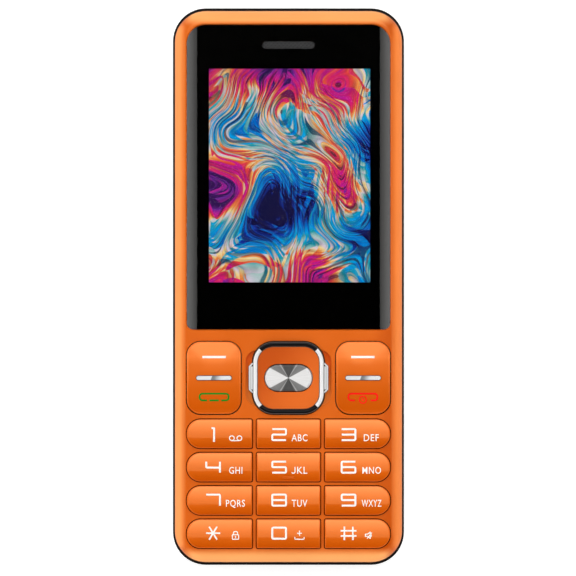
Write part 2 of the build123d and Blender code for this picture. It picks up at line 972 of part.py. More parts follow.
def bay_cuts():
    cuts = battery_block(bay_clearance, z_floor - overrun, z_bay_roof)
    for side in (-1, 1):
        x, y = sim_place(side)
        width, length = sim_width + 2 * socket_clearance, sim_length + 2 * socket_clearance
        cuts += block(width, length, z_bay_roof - overrun, z_board, x, y)
    x, y = card_place()
    width, length = card_width + 2 * socket_clearance, card_length + 2 * socket_clearance
    cuts += block(width, length, z_bay_roof - overrun, z_board, x, y)
    width = connector_width + 2 * socket_clearance
    low = z_board - connector_height - socket_clearance
    return cuts + block(width, 4 * bay_wall, low, z_board, 0, y_bay_bottom)


def port_cuts():
    grow = usb_hole_clearance
    hole = RectangleRounded(usb_width + 2 * grow, usb_height + 2 * grow, usb_corner + grow)
    inside = y_bottom + rear_wall_inset + overrun
    cuts = prism_along_y(Pos(0, z_board - usb_height / 2) * hole, y_bottom - overrun, inside)
    hole_z = z_board - microphone_height / 2
    cuts += rod_along_y(microphone_hole_radius, y_bottom - overrun, inside, microphone_x, hole_z)
    inside = y_top - rear_wall_inset - overrun
    jack_hole = jack_bore_radius + jack_hole_clearance
    cuts += rod_along_y(jack_hole, inside, y_top + overrun, -jack_x, jack_z())
    torch_hole = torch_lens_radius + torch_lens_clearance
    return cuts + rod_along_y(torch_hole, inside, y_top + overrun, torch_x, torch_z())


def speaker_rim():
    grow = speaker_rib_clearance
    outer = Rectangle(speaker_width + 2 * (grow + speaker_rib), speaker_length + 2 * (grow + speaker_rib))
    inner = Rectangle(speaker_width + 2 * grow, speaker_length + 2 * grow)
    return prism(Pos(0, y_speaker) * (outer - inner), z_floor_top, z_floor_top + speaker_rib_height)


def motor_cradle():
    cradle = Part()
    for end in (-1, 1):
        x = motor_x + end * cradle_spacing / 2
        cradle += block(cradle_thickness, cradle_width, z_floor_top, motor_z(), x, y_motor)
    half = motor_length
    cut = rod_along_x(motor_radius + motor_air, motor_x - half, motor_x + half, y_motor, motor_z())
    return cradle - cut


def rear_housing():
    outer, cavity = rear_shell()
    shell = outer - cavity
    for x, y in screw_places():
        shell += post(rear_boss_radius, z_floor, z_board - boss_air, x, y) & outer
    shell += battery_block(bay_clearance + bay_wall, z_floor, z_bay_roof_top)
    shell += speaker_rim() + motor_cradle()
    shell -= bay_cuts()
    shell -= port_cuts()
    shell -= tongue_groove()
    for x, y in screw_places():
        shell -= post(shank_radius + shank_clearance, z_floor - overrun, z_board + overrun, x, y)
        head_top = z_floor + head_inset + head_height
        shell -= post(head_radius + head_clearance, z_floor - overrun, head_top, x, y)
    barrel = camera_barrel_radius + camera_barrel_clearance
    shell -= post(barrel, z_floor - overrun, z_floor_top + overrun, 0, y_camera)
    width, length = speaker_width - speaker_opening_margin, speaker_length - speaker_opening_margin
    return shell - block(width, length, z_floor - overrun, z_floor_top, 0, y_speaker)


def antenna():
    y = y_antenna + antenna_length / 2
    high = z_floor_top + antenna_thickness
    sheet = block(antenna_width, antenna_length, z_floor_top, high, 0, y)
    pitch = antenna_width / (antenna_slots + 1)
    for slot in range(antenna_slots):
        x = (slot - (antenna_slots - 1) / 2) * pitch
        side = 1 if slot % 2 else -1
        place = y + side * antenna_slot_margin
        sheet -= block(antenna_slot_width, antenna_length, z_floor_top - overrun, high + overrun, x, place)
    return sheet


def housing_screws():
    screws = []
    for x, y in screw_places():
        low = z_floor + head_inset
        neck = low + head_height
        screw = post(head_radius, low, neck, x, y) + post(shank_radius, neck, neck + shank_length, x, y)
        for width, length in ((cross_width, cross_length), (cross_length, cross_width)):
            screw -= block(width, length, low - overrun, low + cross_depth, x, y)
        screws.append(screw)
    return Compound(children=screws)


# Battery and cover


def battery():
    cell = battery_block(0, z_battery, z_battery_top)
    return fillet(cell.edges().filter_by(Axis.Y), battery_rounding)


def speaker_slot_cuts():
    cuts = Part()
    for slot in range(speaker_slots):
        y = y_speaker + (slot - (speaker_slots - 1) / 2) * speaker_slot_pitch
        outline = Pos(0, y) * SlotOverall(speaker_slot_width, speaker_slot_height)
        cuts += prism(outline, -overrun, z_floor)
    return cuts


def battery_cover():
    tray = prism(body_outline(0), 0, cover_height)
    tray = fillet(tray.edges().group_by(Axis.Z)[0], cover_edge_radius)
    hollow = prism(body_outline(cover_wall), cover_wall, cover_height + overrun)
    hollow = fillet(hollow.edges().group_by(Axis.Z)[0], cover_edge_radius - cover_wall)
    tongue = body_outline(tongue_inset) - body_outline(cover_wall)
    tray += prism(tongue, cover_height - overrun, cover_height + tongue_height)
    tray -= hollow
    ring_outer = camera_ring_radii()[1]
    tray -= post(ring_outer + camera_hole_clearance, -overrun, z_floor, 0, y_camera)
    tray -= speaker_slot_cuts()
    low, high = cover_height - notch_height, cover_height
    x = -body_width / 2
    notch = block(2 * notch_depth, notch_length, low, high, x, y_bottom + notch_from_bottom)
    return tray - notch


# All pieces by name


def number_keys():
    names = ("star", "0", "hash", "7", "8", "9", "4", "5", "6", "1", "2", "3")
    keys = {}
    for index, name in enumerate(names):
        row, column = index // 3, index % 3 - 1
        keys["key_" + name] = number_key(column, row)
        if name == "5":
            keys["key_" + name] += raised_ridge(row)
    return keys


def all_pieces():
    pieces = {
        "front_housing": front_housing(),
        "display_window": display_window(),
        "window_print": window_print(),
        "display_gasket": display_gasket(),
        "lcd_frame": lcd_frame(),
        "lcd_backlight": lcd_backlight(),
        "lcd_panel": lcd_panel(),
        "lcd_flex": lcd_flex(),
        "earpiece_mesh": earpiece_mesh(),
        "earpiece_receiver": earpiece_receiver(),
        "left_key": side_key(-1),
        "right_key": side_key(1),
        "left_key_bar": side_key_bar(-1),
        "right_key_bar": side_key_bar(1),
        "nav_web": nav_web(),
        "nav_plate": nav_plate(),
        "nav_ring": nav_ring(),
        "nav_wings": nav_wings(),
        "ok_key": ok_key(),
        "keypad_mat": keypad_mat(),
        "dome_sheet": dome_sheet(),
        "main_board": main_board(),
        "board_chips": board_chips(),
        "rf_shield": shield(-1),
        "cpu_shield": shield(1),
        "battery_connector": battery_connector(),
        "sim_socket_left": socket(sim_width, sim_length, sim_place(-1)),
        "sim_socket_right": socket(sim_width, sim_length, sim_place(1)),
        "card_socket": socket(card_width, card_length, card_place()),
        "usb_port": usb_port(),
        "headphone_jack": headphone_jack(),
        "microphone": microphone(),
        "torch_led": torch_led(),
        "torch_lens": torch_lens(),
        "loudspeaker": loudspeaker(),
        "speaker_mesh": speaker_mesh(),
        "vibration_motor": vibration_motor(),
        "vibration_weight": vibration_weight(),
        "camera_module": camera_module(),
        "camera_window": camera_window(),
        "camera_ring": camera_ring(),
        "rear_housing": rear_housing(),
        "antenna": antenna(),
        "housing_screws": housing_screws(),
        "battery": battery(),
        "battery_cover": battery_cover(),
    }
    pieces.update(number_keys())
    return pieces


os.makedirs("parts", exist_ok=True)
for name, shape in all_pieces().items():
    export_step(shape, "parts/" + name + ".step")
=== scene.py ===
"""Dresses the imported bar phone: finishes on its solids, printed marks, a plain studio and the camera."""

from __future__ import annotations

import json
import logging
import math
from dataclasses import dataclass
from enum import Enum

import bmesh
import bpy
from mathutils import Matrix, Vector
from mathutils.bvhtree import BVHTree


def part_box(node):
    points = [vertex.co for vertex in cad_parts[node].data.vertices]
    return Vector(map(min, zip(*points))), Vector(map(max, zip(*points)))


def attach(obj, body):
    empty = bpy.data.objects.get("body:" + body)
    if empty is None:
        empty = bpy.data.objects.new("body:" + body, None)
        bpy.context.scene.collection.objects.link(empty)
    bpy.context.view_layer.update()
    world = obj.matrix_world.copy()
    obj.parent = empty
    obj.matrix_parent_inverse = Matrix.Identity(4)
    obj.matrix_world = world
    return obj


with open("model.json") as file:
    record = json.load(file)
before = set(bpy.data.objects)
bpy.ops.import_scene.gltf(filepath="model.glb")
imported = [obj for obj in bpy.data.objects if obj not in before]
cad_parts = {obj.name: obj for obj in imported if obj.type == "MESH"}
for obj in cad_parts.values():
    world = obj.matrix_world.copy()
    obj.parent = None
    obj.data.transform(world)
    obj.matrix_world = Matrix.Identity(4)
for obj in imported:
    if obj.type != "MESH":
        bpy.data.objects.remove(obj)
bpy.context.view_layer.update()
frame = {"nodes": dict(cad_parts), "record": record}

LOG = logging.getLogger("phone")
Point = tuple[float, float]
Tint = tuple[float, float, float, float]
Stops = tuple[tuple[float, Tint], ...]

MM = 0.001
TURN = 2 * math.pi

# The four-way key: its middle along the phone, and the outline of its ring, in millimetres
KEY_ROW_Y = -20.78
RING_SIZE = (16.2, 16.4)
RING_RADIUS = 4.7


# ---------------- colours


def tint(red: int, green: int, blue: int) -> Tint:
    """Turns a screen colour, each channel from 0 to 255, into the linear one that shaders take."""
    shares = [channel / 255 for channel in (red, green, blue)]
    return (*(s / 12.92 if s <= 0.04045 else ((s + 0.055) / 1.055) ** 2.4 for s in shares), 1.0)


def shades(*rows: tuple[float, int, int, int]) -> Stops:
    """Makes the stops of a colour ramp from places and screen colours."""
    return tuple((place, tint(*colour)) for place, *colour in rows)


BLACK: Tint = (0.0, 0.0, 0.0, 1.0)
WHITE: Tint = (1.0, 1.0, 1.0, 1.0)
STEEL = tint(190, 192, 196)
BRIGHT = tint(244, 246, 248)
ORANGE = tint(225, 100, 20)
# Painted shade for the side walls of the keys and of the openings round them
GAP_PAINTED_SHADE: Tint = (0.10, 0.02, 0.0, 1.0)
GLOSS = {"specular": 1.0, "specular_tint": (1.0, 0.6, 0.24, 1.0)}
# Painted light and shade up a number key: darkest at its lower edge, lightest towards its top
KEY_PAINTED_SHADING = shades(
    (0.0, 203, 80, 2), (0.2, 214, 93, 12), (0.343, 224, 100, 19), (0.45, 226, 98, 12), (0.55, 229, 99, 15),
    (0.65, 233, 104, 26), (0.756, 236, 109, 38), (0.86, 240, 116, 46), (0.96, 244, 124, 57),
)
# Painted light and shade up a side key: a little lighter at the very foot, darkest just above it, lightest
# towards the top
SIDE_KEY_PAINTED_SHADING = shades(
    (0.0, 222, 100, 22), (0.08, 212, 90, 9), (0.35, 220, 99, 21), (0.52, 229, 107, 32), (0.6, 232, 110, 35),
    (0.68, 236, 113, 40), (0.735, 243, 121, 48), (0.79, 252, 131, 60), (1.0, 252, 129, 60),
)
PICTURE_SHADES = shades(
    (0.0, 10, 10, 60), (0.06, 20, 50, 160), (0.17, 0, 110, 205), (0.3, 0, 165, 235), (0.37, 30, 160, 170),
    (0.43, 170, 205, 200), (0.48, 222, 205, 225), (0.53, 248, 222, 150), (0.58, 248, 150, 70),
    (0.65, 232, 70, 60), (0.74, 226, 32, 110), (0.84, 205, 28, 150), (0.94, 110, 40, 150), (1.0, 60, 20, 90),
)


# ---------------- node wiring


class Wire:
    """A node output that arithmetic turns into further math nodes of the same tree."""

    def __init__(self, loom: Loom, socket: bpy.types.NodeSocket) -> None:
        """Keeps the loom that adds nodes and the socket that this wire starts from."""
        self.loom, self.socket = loom, socket

    def math(self, operation: str, *others: Wire | float) -> Wire:
        """Adds one math node that takes this wire and then the others."""
        return self.loom.wire("ShaderNodeMath", dict(enumerate((self, *others))), {"operation": operation})

    def __add__(self, other: Wire | float) -> Wire:
        """Adds a wire or a number."""
        return self.math("ADD", other)

    def __sub__(self, other: Wire | float) -> Wire:
        """Takes a wire or a number away."""
        return self.math("SUBTRACT", other)

    def __mul__(self, other: Wire | float) -> Wire:
        """Multiplies by a wire or a number."""
        return self.math("MULTIPLY", other)

    def abs(self) -> Wire:
        """Drops the sign."""
        return self.math("ABSOLUTE")

    def max(self, other: Wire | float) -> Wire:
        """Keeps the larger of this wire and another wire or number."""
        return self.math("MAXIMUM", other)

    def length(self, other: Wire) -> Wire:
        """Gives the length of the line that goes this far across and the other far along."""
        return (self * self + other * other).math("SQRT")

    def flipped(self) -> Wire:
        """Turns 0 into 1 and 1 into 0."""
        return (self * -1.0) + 1.0

    def rise(self, low: float, high: float) -> Wire:
        """Goes smoothly from 0 at low to 1 at high."""
        sockets = {"Value": self, "From Min": low, "From Max": high}
        return self.loom.wire("ShaderNodeMapRange", sockets, {"interpolation_type": "SMOOTHSTEP"})

    def fall(self, low: float, high: float) -> Wire:
        """Goes smoothly from 1 at low to 0 at high."""
        return self.rise(low, high).flipped()


@dataclass(frozen=True)
class Loom:
    """Adds nodes to one tree and wires them."""

    tree: bpy.types.NodeTree

    @classmethod
    def fresh(cls, owner: bpy.types.Material | bpy.types.World) -> Loom:
        """Empties the tree of a material or of the world.

        Args:
            owner: The material or the world.

        Returns:
            A loom for its tree.
        """
        owner.use_nodes = True
        owner.node_tree.nodes.clear()
        return cls(owner.node_tree)

    def node(self, kind: str, sockets: dict | None = None, settings: dict | None = None) -> bpy.types.Node:
        """Adds a node.

        Args:
            kind: Blender's name for the node.
            sockets: Its inputs by name or number, as values or wires.
            settings: The node's own properties.

        Returns:
            The new node.
        """
        node = self.tree.nodes.new(kind)
        for key, value in (settings or {}).items():
            setattr(node, key, value)
        self.feed(node, sockets or {})
        return node

    def feed(self, node: bpy.types.Node, sockets: dict) -> None:
        """Gives inputs of a node their wires or constants.

        Args:
            node: The node.
            sockets: The inputs by name or number, as values or wires.
        """
        for key, value in sockets.items():
            if isinstance(value, Wire):
                self.tree.links.new(value.socket, node.inputs[key])
            else:
                node.inputs[key].default_value = value

    def out(self, node: bpy.types.Node, key: int | str = 0) -> Wire:
        """Wraps an output of a node as a wire."""
        return Wire(self, node.outputs[key])

    def wire(
        self, kind: str, sockets: dict | None = None, settings: dict | None = None, key: int | str = 0
    ) -> Wire:
        """Adds a node and gives one of its outputs."""
        return self.out(self.node(kind, sockets, settings), key)

    def axes(self, space: str) -> list[Wire]:
        """Gives the three coordinates of a texture space."""
        split = self.node("ShaderNodeSeparateXYZ", {0: self.wire("ShaderNodeTexCoord", key=space)})
        return [self.out(split, axis) for axis in "XYZ"]

    def place(self) -> list[Wire]:
        """Gives X, Y and Z of the surface point in the phone's frame, in millimetres."""
        return [axis * (1 / MM) for axis in self.axes("Object")]

    def vector(self, x: Wire | float, y: Wire | float, z: Wire | float) -> Wire:
        """Joins three numbers into a vector."""
        return self.wire("ShaderNodeCombineXYZ", {0: x, 1: y, 2: z})

    def noise(self, where: Wire, scale: Wire | float, detail: float = 2.0) -> Wire:
        """Reads a noise at a place: a value about 0.5, with so many finer layers."""
        return self.wire("ShaderNodeTexNoise", {"Vector": where, "Scale": scale, "Detail": detail})

    def mix(self, share: Wire | float, first: Wire | Tint, second: Wire | Tint) -> Wire:
        """Mixes two colours: a share of 0 gives the first and 1 the second."""
        return self.wire("ShaderNodeMix", {0: share, 6: first, 7: second}, {"data_type": "RGBA"}, 2)

    def ramp(self, value: Wire, stops: Stops) -> Wire:
        """Looks a value up in a row of colours.

        Args:
            value: The value from 0 to 1.
            stops: Places with their colours, in order.

        Returns:
            The colour at that value.
        """
        node = self.node("ShaderNodeValToRGB", {0: value})
        band = node.color_ramp.elements
        while len(band) < len(stops):
            band.new(1.0)
        for element, (place, colour) in zip(band, stops):
            element.position, element.color = place, colour
        return self.out(node)

    def bump(self, height: Wire, depth: float, strength: float = 1.0) -> Wire:
        """Makes a normal from a height, of which 1 stands for the depth in millimetres."""
        return self.wire("ShaderNodeBump", {"Strength": strength, "Distance": depth * MM, "Height": height})


def rounded_depth(across: Wire, along: Wire, size: Point, radius: float) -> Wire:
    """Measures the way from a point to the outline of a rounded rectangle about the origin.

    Args:
        across: The point's place across, in millimetres.
        along: Its place along.
        size: The rectangle's width and length.
        radius: Its corner radius.

    Returns:
        How far outside the outline the point lies; it is negative inside.
    """
    past_x = across.abs() - (size[0] / 2 - radius)
    past_y = along.abs() - (size[1] / 2 - radius)
    inner = past_x.max(past_y).math("MINIMUM", 0.0)
    return past_x.max(0.0).length(past_y.max(0.0)) + inner - radius


# ---------------- shared effects


class Effect(Enum):
    """The node groups that several finishes share, each with its input and that input's usual value."""

    GRAIN = ("moulded_grain", "Scale", 8.0)
    WEAVE = ("woven_mesh", "Pitch", 0.4)
    BRUSH = ("brushed_lines", "Scale", 20.0)


class EffectShelf:
    """Builds each shared node group once."""

    def __init__(self) -> None:
        """Starts with an empty shelf."""
        self.groups: dict[Effect, bpy.types.NodeTree] = {}

    def take(self, effect: Effect) -> bpy.types.NodeTree:
        """Gives the group of an effect, and builds it the first time.

        Args:
            effect: The effect.

        Returns:
            Its node group.
        """
        if effect not in self.groups:
            name, size, usual = effect.value
            tree = bpy.data.node_groups.new(name, "ShaderNodeTree")
            kind = "NodeSocketFloat"
            tree.interface.new_socket(name=size, in_out="INPUT", socket_type=kind).default_value = usual
            loom = Loom(tree)
            builders = {Effect.GRAIN: self.grain, Effect.WEAVE: self.weave, Effect.BRUSH: self.brush}
            outputs = builders[effect](loom, loom.wire("NodeGroupInput", key=size))
            for output in outputs:
                tree.interface.new_socket(name=output, in_out="OUTPUT", socket_type=kind)
            loom.node("NodeGroupOutput", outputs)
            self.groups[effect] = tree
        return self.groups[effect]

    def grain(self, loom: Loom, scale: Wire) -> dict[str, Wire]:
        """Makes fine moulded grain over a slow unevenness."""
        where = loom.vector(*loom.place())
        return {"Height": loom.noise(where, scale, 3.0), "Tone": loom.noise(where, 0.09, 1.0).rise(0.3, 0.7)}

    def weave(self, loom: Loom, pitch: Wire) -> dict[str, Wire]:
        """Makes threads that cross on the diagonals, with a hole in each mesh.

        Args:
            loom: The group's loom.
            pitch: The distance between threads, in millimetres.

        Returns:
            The outputs by name.
        """
        x, y, _ = loom.place()
        first, second = ((way * TURN).math("DIVIDE", pitch).math("SINE") for way in (x + y, x - y))
        height = first.max(second) * 0.5 + 0.5
        return {"Height": height, "Tone": height.rise(0.45, 0.8)}

    def brush(self, loom: Loom, scale: Wire) -> dict[str, Wire]:
        """Makes fine lines along X, as a brush leaves them.

        Args:
            loom: The group's loom.
            scale: The scale of the lines.

        Returns:
            The outputs by name.
        """
        x, y, z = loom.place()
        fine = loom.noise(loom.vector(x * 0.03, y, z), scale)
        return {"Height": fine, "Tone": fine.rise(0.25, 0.75)}


SHELF = EffectShelf()


# ---------------- finishes


@dataclass(frozen=True)
class Finish:
    """A surface with plain sockets, whose relief, tone and roughness vary a little with a shared effect.

    Grain is the effect's size, unevenness how far the colour sinks towards the low colour, and spread how far
    the roughness varies. Slow relief follows the effect's tone in place of its height.
    """

    name: str
    colour: Tint
    roughness: float = 0.4
    metallic: float = 0.0
    coat: float = 0.0
    coat_roughness: float = 0.05
    index: float = 1.5
    specular: float = 0.5
    specular_tint: Tint = WHITE
    transmission: float = 0.0
    effect: Effect = Effect.GRAIN
    low_colour: Tint = BLACK
    unevenness: float = 0.05
    spread: float = 0.06
    grain: float = 8.0
    grain_depth: float = 0.004
    relief: float = 0.6
    slow_relief: bool = False

    def build(self) -> bpy.types.Material:
        """Makes the material.

        Returns:
            The finished material.
        """
        material = bpy.data.materials.new(self.name)
        loom = Loom.fresh(material)
        constants = {
            "Roughness": self.roughness,
            "Metallic": self.metallic,
            "IOR": self.index,
            "Coat Weight": self.coat,
            "Coat Roughness": self.coat_roughness,
            "Transmission Weight": self.transmission,
            "Specular IOR Level": self.specular,
            "Specular Tint": self.specular_tint,
        }
        shader = loom.node("ShaderNodeBsdfPrincipled", constants)
        loom.feed(shader, self.paint(loom))
        loom.node("ShaderNodeOutputMaterial", {"Surface": loom.out(shader)})
        material.diffuse_color = self.colour
        return material

    def ground(self, loom: Loom) -> Wire | Tint:
        """Gives the colour before the unevenness."""
        return self.colour

    def paint(self, loom: Loom) -> dict[str, Wire | Tint]:
        """Wires the colour, the relief and the roughness.

        Args:
            loom: The material's loom.

        Returns:
            What goes into the shader, by socket.
        """
        group = loom.node("ShaderNodeGroup", {0: self.grain}, {"node_tree": SHELF.take(self.effect)})
        height, tone, ground = loom.out(group, "Height"), loom.out(group, "Tone"), self.ground(loom)
        deep = loom.mix(1.0 - self.unevenness, self.low_colour, ground)
        relief = loom.bump(tone if self.slow_relief else height, self.grain_depth, self.relief)
        painted = {"Base Color": loom.mix(tone, deep, ground), "Normal": relief}
        if self.spread:
            painted["Roughness"] = tone * self.spread + (self.roughness - self.spread / 2)
        return painted


@dataclass(frozen=True)
class GlassFinish(Finish):
    """Clear moulding or glass: faintly uneven in thickness, with a roughness that is the same all over."""

    transmission: float = 1.0
    spread: float = 0.0
    relief: float = 0.3
    slow_relief: bool = True


@dataclass(frozen=True)
class BrushedFinish(Finish):
    """Rolled or brushed sheet metal."""

    metallic: float = 1.0
    effect: Effect = Effect.BRUSH
    unevenness: float = 0.2
    spread: float = 0.12
    relief: float = 0.4


@dataclass(frozen=True)
class WovenFinish(Finish):
    """Crossing threads with dark holes; the grain is their pitch in millimetres."""

    effect: Effect = Effect.WEAVE
    low_colour: Tint = (0.002, 0.002, 0.003, 1.0)
    unevenness: float = 1.0
    spread: float = 0.0
    relief: float = 1.0


@dataclass(frozen=True)
class ShellFinish(Finish):
    """Orange housing: painted highlights on the rounded sides and ends, painted shade beside the rim, in the
    corners and on the walls of the key openings, and painted light and shade on the recess floor.

    The pairs of places, in millimetres, say where each tone starts and where it is full.
    """

    # The first colour is the painted highlight on the rounded ends, the second the painted shade beside the
    # rim and in the corners
    light: Tint = tint(255, 169, 98)
    deep: Tint = tint(196, 72, 0)
    # Painted highlights on the rounded left and right sides
    painted_left_light: Tint = (1.0, 0.315, 0.083, 1.0)
    painted_right_light: Tint = (1.0, 0.26, 0.055, 1.0)
    left_to_right: Point = (-25.0, 25.0)
    # Where the painted shade beside the side rims lies, and its share
    rim_shade_in: Point = (18.0, 23.0)
    rim_shade_out: Point = (23.0, 24.6)
    rim_shade_slope: Point = (-45.0, 25.0)
    rim_shade_share: float = 0.6
    # Where the painted highlights on the rounded sides and ends lie
    rim: Point = (23.15, 24.95)
    ends: Point = (59.12, 61.22)
    # Where the painted shade in the corners lies, and its share
    corner_shade_from: Point = (21.65, 58.52)
    corner: Point = (0.0, 6.0)
    corner_shade_share: float = 0.85
    # Where the painted shade on the walls of the key openings lies
    gap_side: Point = (22.8, 22.95)
    gap_low: Point = (-60.0, -59.8)
    gap_high: Point = (-11.0, -10.8)
    gap_corner_side: Point = (21.0, 21.2)
    gap_corner_low: Point = (-58.6, -58.4)
    gap_top: Point = (12.68, 12.76)
    recess_size: Point = (19.5, 12.6)
    recess_radius: float = 2.6
    # Recess floor: painted light at its lower end and painted shade at its upper end
    recess_slope: Point = (-6.5, 6.0)
    recess_painted_light: Tint = (1.0, 0.24, 0.03, 1.0)
    recess_painted_shade: Tint = (0.95, 0.1, 0.0, 1.0)

    def ground(self, loom: Loom) -> Wire:
        """Paints light and shade by the place across and along the housing, in the recess too.

        Args:
            loom: The material's loom.

        Returns:
            The colour before the unevenness.
        """
        x, y, z = loom.place()
        side, end, along = x.abs(), y.abs(), y - KEY_ROW_Y
        # Painted shade in a band beside the side rims, stronger on the right
        rim_shade_band = side.rise(*self.rim_shade_in) * side.fall(*self.rim_shade_out) * x.rise(*self.rim_shade_slope)
        colour = loom.mix(rim_shade_band * self.rim_shade_share, self.colour, self.deep)
        # Painted highlights on the rounded sides and ends
        ends = end.rise(*self.ends)
        sides = loom.mix(x.rise(*self.left_to_right), self.painted_left_light, self.painted_right_light)
        colour = loom.mix(side.rise(*self.rim).max(ends), colour, loom.mix(ends, sides, self.light))
        # Painted shade in the corners of the housing
        corner = (side - self.corner_shade_from[0]).max(0.0) * (end - self.corner_shade_from[1]).max(0.0)
        colour = loom.mix(corner.rise(*self.corner) * self.corner_shade_share, colour, self.deep)
        # Painted shade on the walls of the key openings
        colour = loom.mix(self.painted_gap_shade(side, y, z), colour, GAP_PAINTED_SHADE)
        recess = rounded_depth(x, along, self.recess_size, self.recess_radius).fall(-0.02, 0.03)
        # Recess floor: painted light at its lower end, painted shade at its upper end
        floor = loom.mix(along.rise(*self.recess_slope), self.recess_painted_light, self.recess_painted_shade)
        return loom.mix(recess, colour, floor)

    def painted_gap_shade(self, side: Wire, y: Wire, z: Wire) -> Wire:
        """Marks the walls of the key openings, where shade is painted.

        Args:
            side: The distance from the middle line, in millimetres.
            y: The place along.
            z: The height.

        Returns:
            How much painted shade lies there, from 0 to 1.
        """
        inside = side.fall(*self.gap_side) * y.rise(*self.gap_low) * y.fall(*self.gap_high)
        corner = side.rise(*self.gap_corner_side) * y.fall(*self.gap_corner_low)
        return inside * corner.flipped() * z.fall(*self.gap_top)


@dataclass(frozen=True)
class KeyFinish(Finish):
    """Orange key with painted light towards its upper edge, and painted shade towards its lower edge and on
    its side walls.
    """

    stops: Stops = KEY_PAINTED_SHADING
    low_y: float = -59.52
    height: float = 6.6
    pitch: float = 7.58
    # Below this height the key's side walls get painted shade
    top: Point = (12.6, 12.72)
    grain_depth: float = 0.001

    def ground(self, loom: Loom) -> Wire:
        """Paints light and shade by the height on the key and paints shade on the walls.

        Args:
            loom: The material's loom.

        Returns:
            The colour before the unevenness.
        """
        _, y, z = loom.place()
        # Painted light and shade up the key from its lower edge
        share = ((y - self.low_y) * (1 / self.pitch)).math("FRACT") * (self.pitch / self.height)
        return loom.mix(z.rise(*self.top), GAP_PAINTED_SHADE, loom.ramp(share, self.stops))


@dataclass(frozen=True)
class PlateFinish(Finish):
    """Orange plate of the four-way key with painted shade towards its upper left, and a seam inside the ring.
    """

    # Painted shade towards the upper left
    deep: Tint = tint(198, 72, 0)
    slope: Point = (-11.0, 9.0)
    seam: Point = (-1.2, -1.14)
    seam_colour: Tint = (0.09, 0.08, 0.075, 1.0)

    def ground(self, loom: Loom) -> Wire:
        """Paints shade along the diagonal and draws the seam.

        Args:
            loom: The material's loom.

        Returns:
            The colour before the unevenness.
        """
        x, y, _ = loom.place()
        along = y - KEY_ROW_Y
        # Painted shade towards the upper left
        colour = loom.mix((x - along).rise(*self.slope), self.deep, self.colour)
        seam = rounded_depth(x, along, RING_SIZE, RING_RADIUS).rise(*self.seam)
        return loom.mix(seam, colour, self.seam_colour)


class Shine(Enum):
    """Where a bright trim piece carries its painted reflections and shade."""

    PLAIN = "plain"
    RING = "ring"
    WING = "wing"
    BAR = "bar"


@dataclass(frozen=True)
class TrimFinish(Finish):
    """Bright trim with painted dark reflections, painted shade along edges and painted highlights, placed by
    the way to its outline in millimetres.
    """

    shine: Shine = Shine.PLAIN
    # Painted dark reflection on the ring and bars, painted shade on the wings
    dark: Tint = (0.004, 0.004, 0.005, 1.0)
    # Painted shade along edges
    line: Tint = (0.07, 0.07, 0.075, 1.0)
    # Painted grey highlight at the edges of dark bands
    painted_glint: Tint = (0.11, 0.11, 0.115, 1.0)
    centre_x: float = 0.0
    ring_edge: Point = (-0.16, -0.1)
    bar_size: Point = (8.2, 1.15)
    bar_edge: Point = (-0.18, -0.1)
    bar_slant: float = 0.35
    bar_share: float = 0.82
    wing_reach: float = 9.1
    wing_half: float = 3.5
    wing_chamfer: float = 0.8
    wing_groove: float = 0.46
    unevenness: float = 0.0
    grain_depth: float = 0.0005

    def ground(self, loom: Loom) -> Wire | Tint:
        """Places the painted reflections, shade and highlights.

        Args:
            loom: The material's loom.

        Returns:
            The colour before the unevenness.
        """
        x, y, _ = loom.place()
        across, along = x - self.centre_x, y - KEY_ROW_Y
        if self.shine is Shine.RING:
            # Ring: painted black reflection on its upper and lower arcs with painted highlights at their
            # edges, and painted shade along the edges of its bright sides
            edge = rounded_depth(across, along, RING_SIZE, RING_RADIUS).rise(*self.ring_edge)
            band = (along.abs() - across.abs()).rise(-0.03, 0.03)
            sides, ends = loom.mix(edge, self.colour, self.line), loom.mix(edge, self.dark, self.painted_glint)
            return loom.mix(band, sides, ends)
        if self.shine is Shine.BAR:
            # Bar: a painted dark reflection band slanting across it, and painted shade along its edge
            slant = across - along * self.bar_slant
            band = slant.rise(-0.65, -0.45) * slant.fall(-0.2, 1.9) * self.bar_share
            edge = rounded_depth(across, along, self.bar_size, self.bar_size[1] / 2).rise(*self.bar_edge)
            return loom.mix(edge, loom.mix(band, self.colour, self.dark), self.line)
        # Wing: painted shade along its edge, in its groove and at its end notches
        if self.shine is Shine.WING:
            return loom.mix(self.painted_wing_shade(across.abs(), along.abs()), self.colour, self.dark)
        return self.colour

    def painted_wing_shade(self, across: Wire, along: Wire) -> Wire:
        """Marks the painted shade on a wing: along its edge, in the groove inside it and in the notch at each
        end.

        Args:
            across: The distance from the middle of the four-way key across it, in millimetres.
            along: The distance along it.

        Returns:
            How much painted shade lies there, from 0 to 1.
        """
        slant = (across + along - (self.wing_reach + self.wing_half - self.wing_chamfer)) * math.sqrt(0.5)
        depth = slant.max(across - self.wing_reach).max(along - self.wing_half)
        edge = depth.rise(-0.11, -0.07) * 0.9
        groove = (depth + self.wing_groove).abs().fall(0.03, 0.07) * 0.4
        notch = depth.fall(-self.wing_groove, 0.04 - self.wing_groove) * along.rise(2.6, 2.65)
        return notch.max(edge).max(groove)


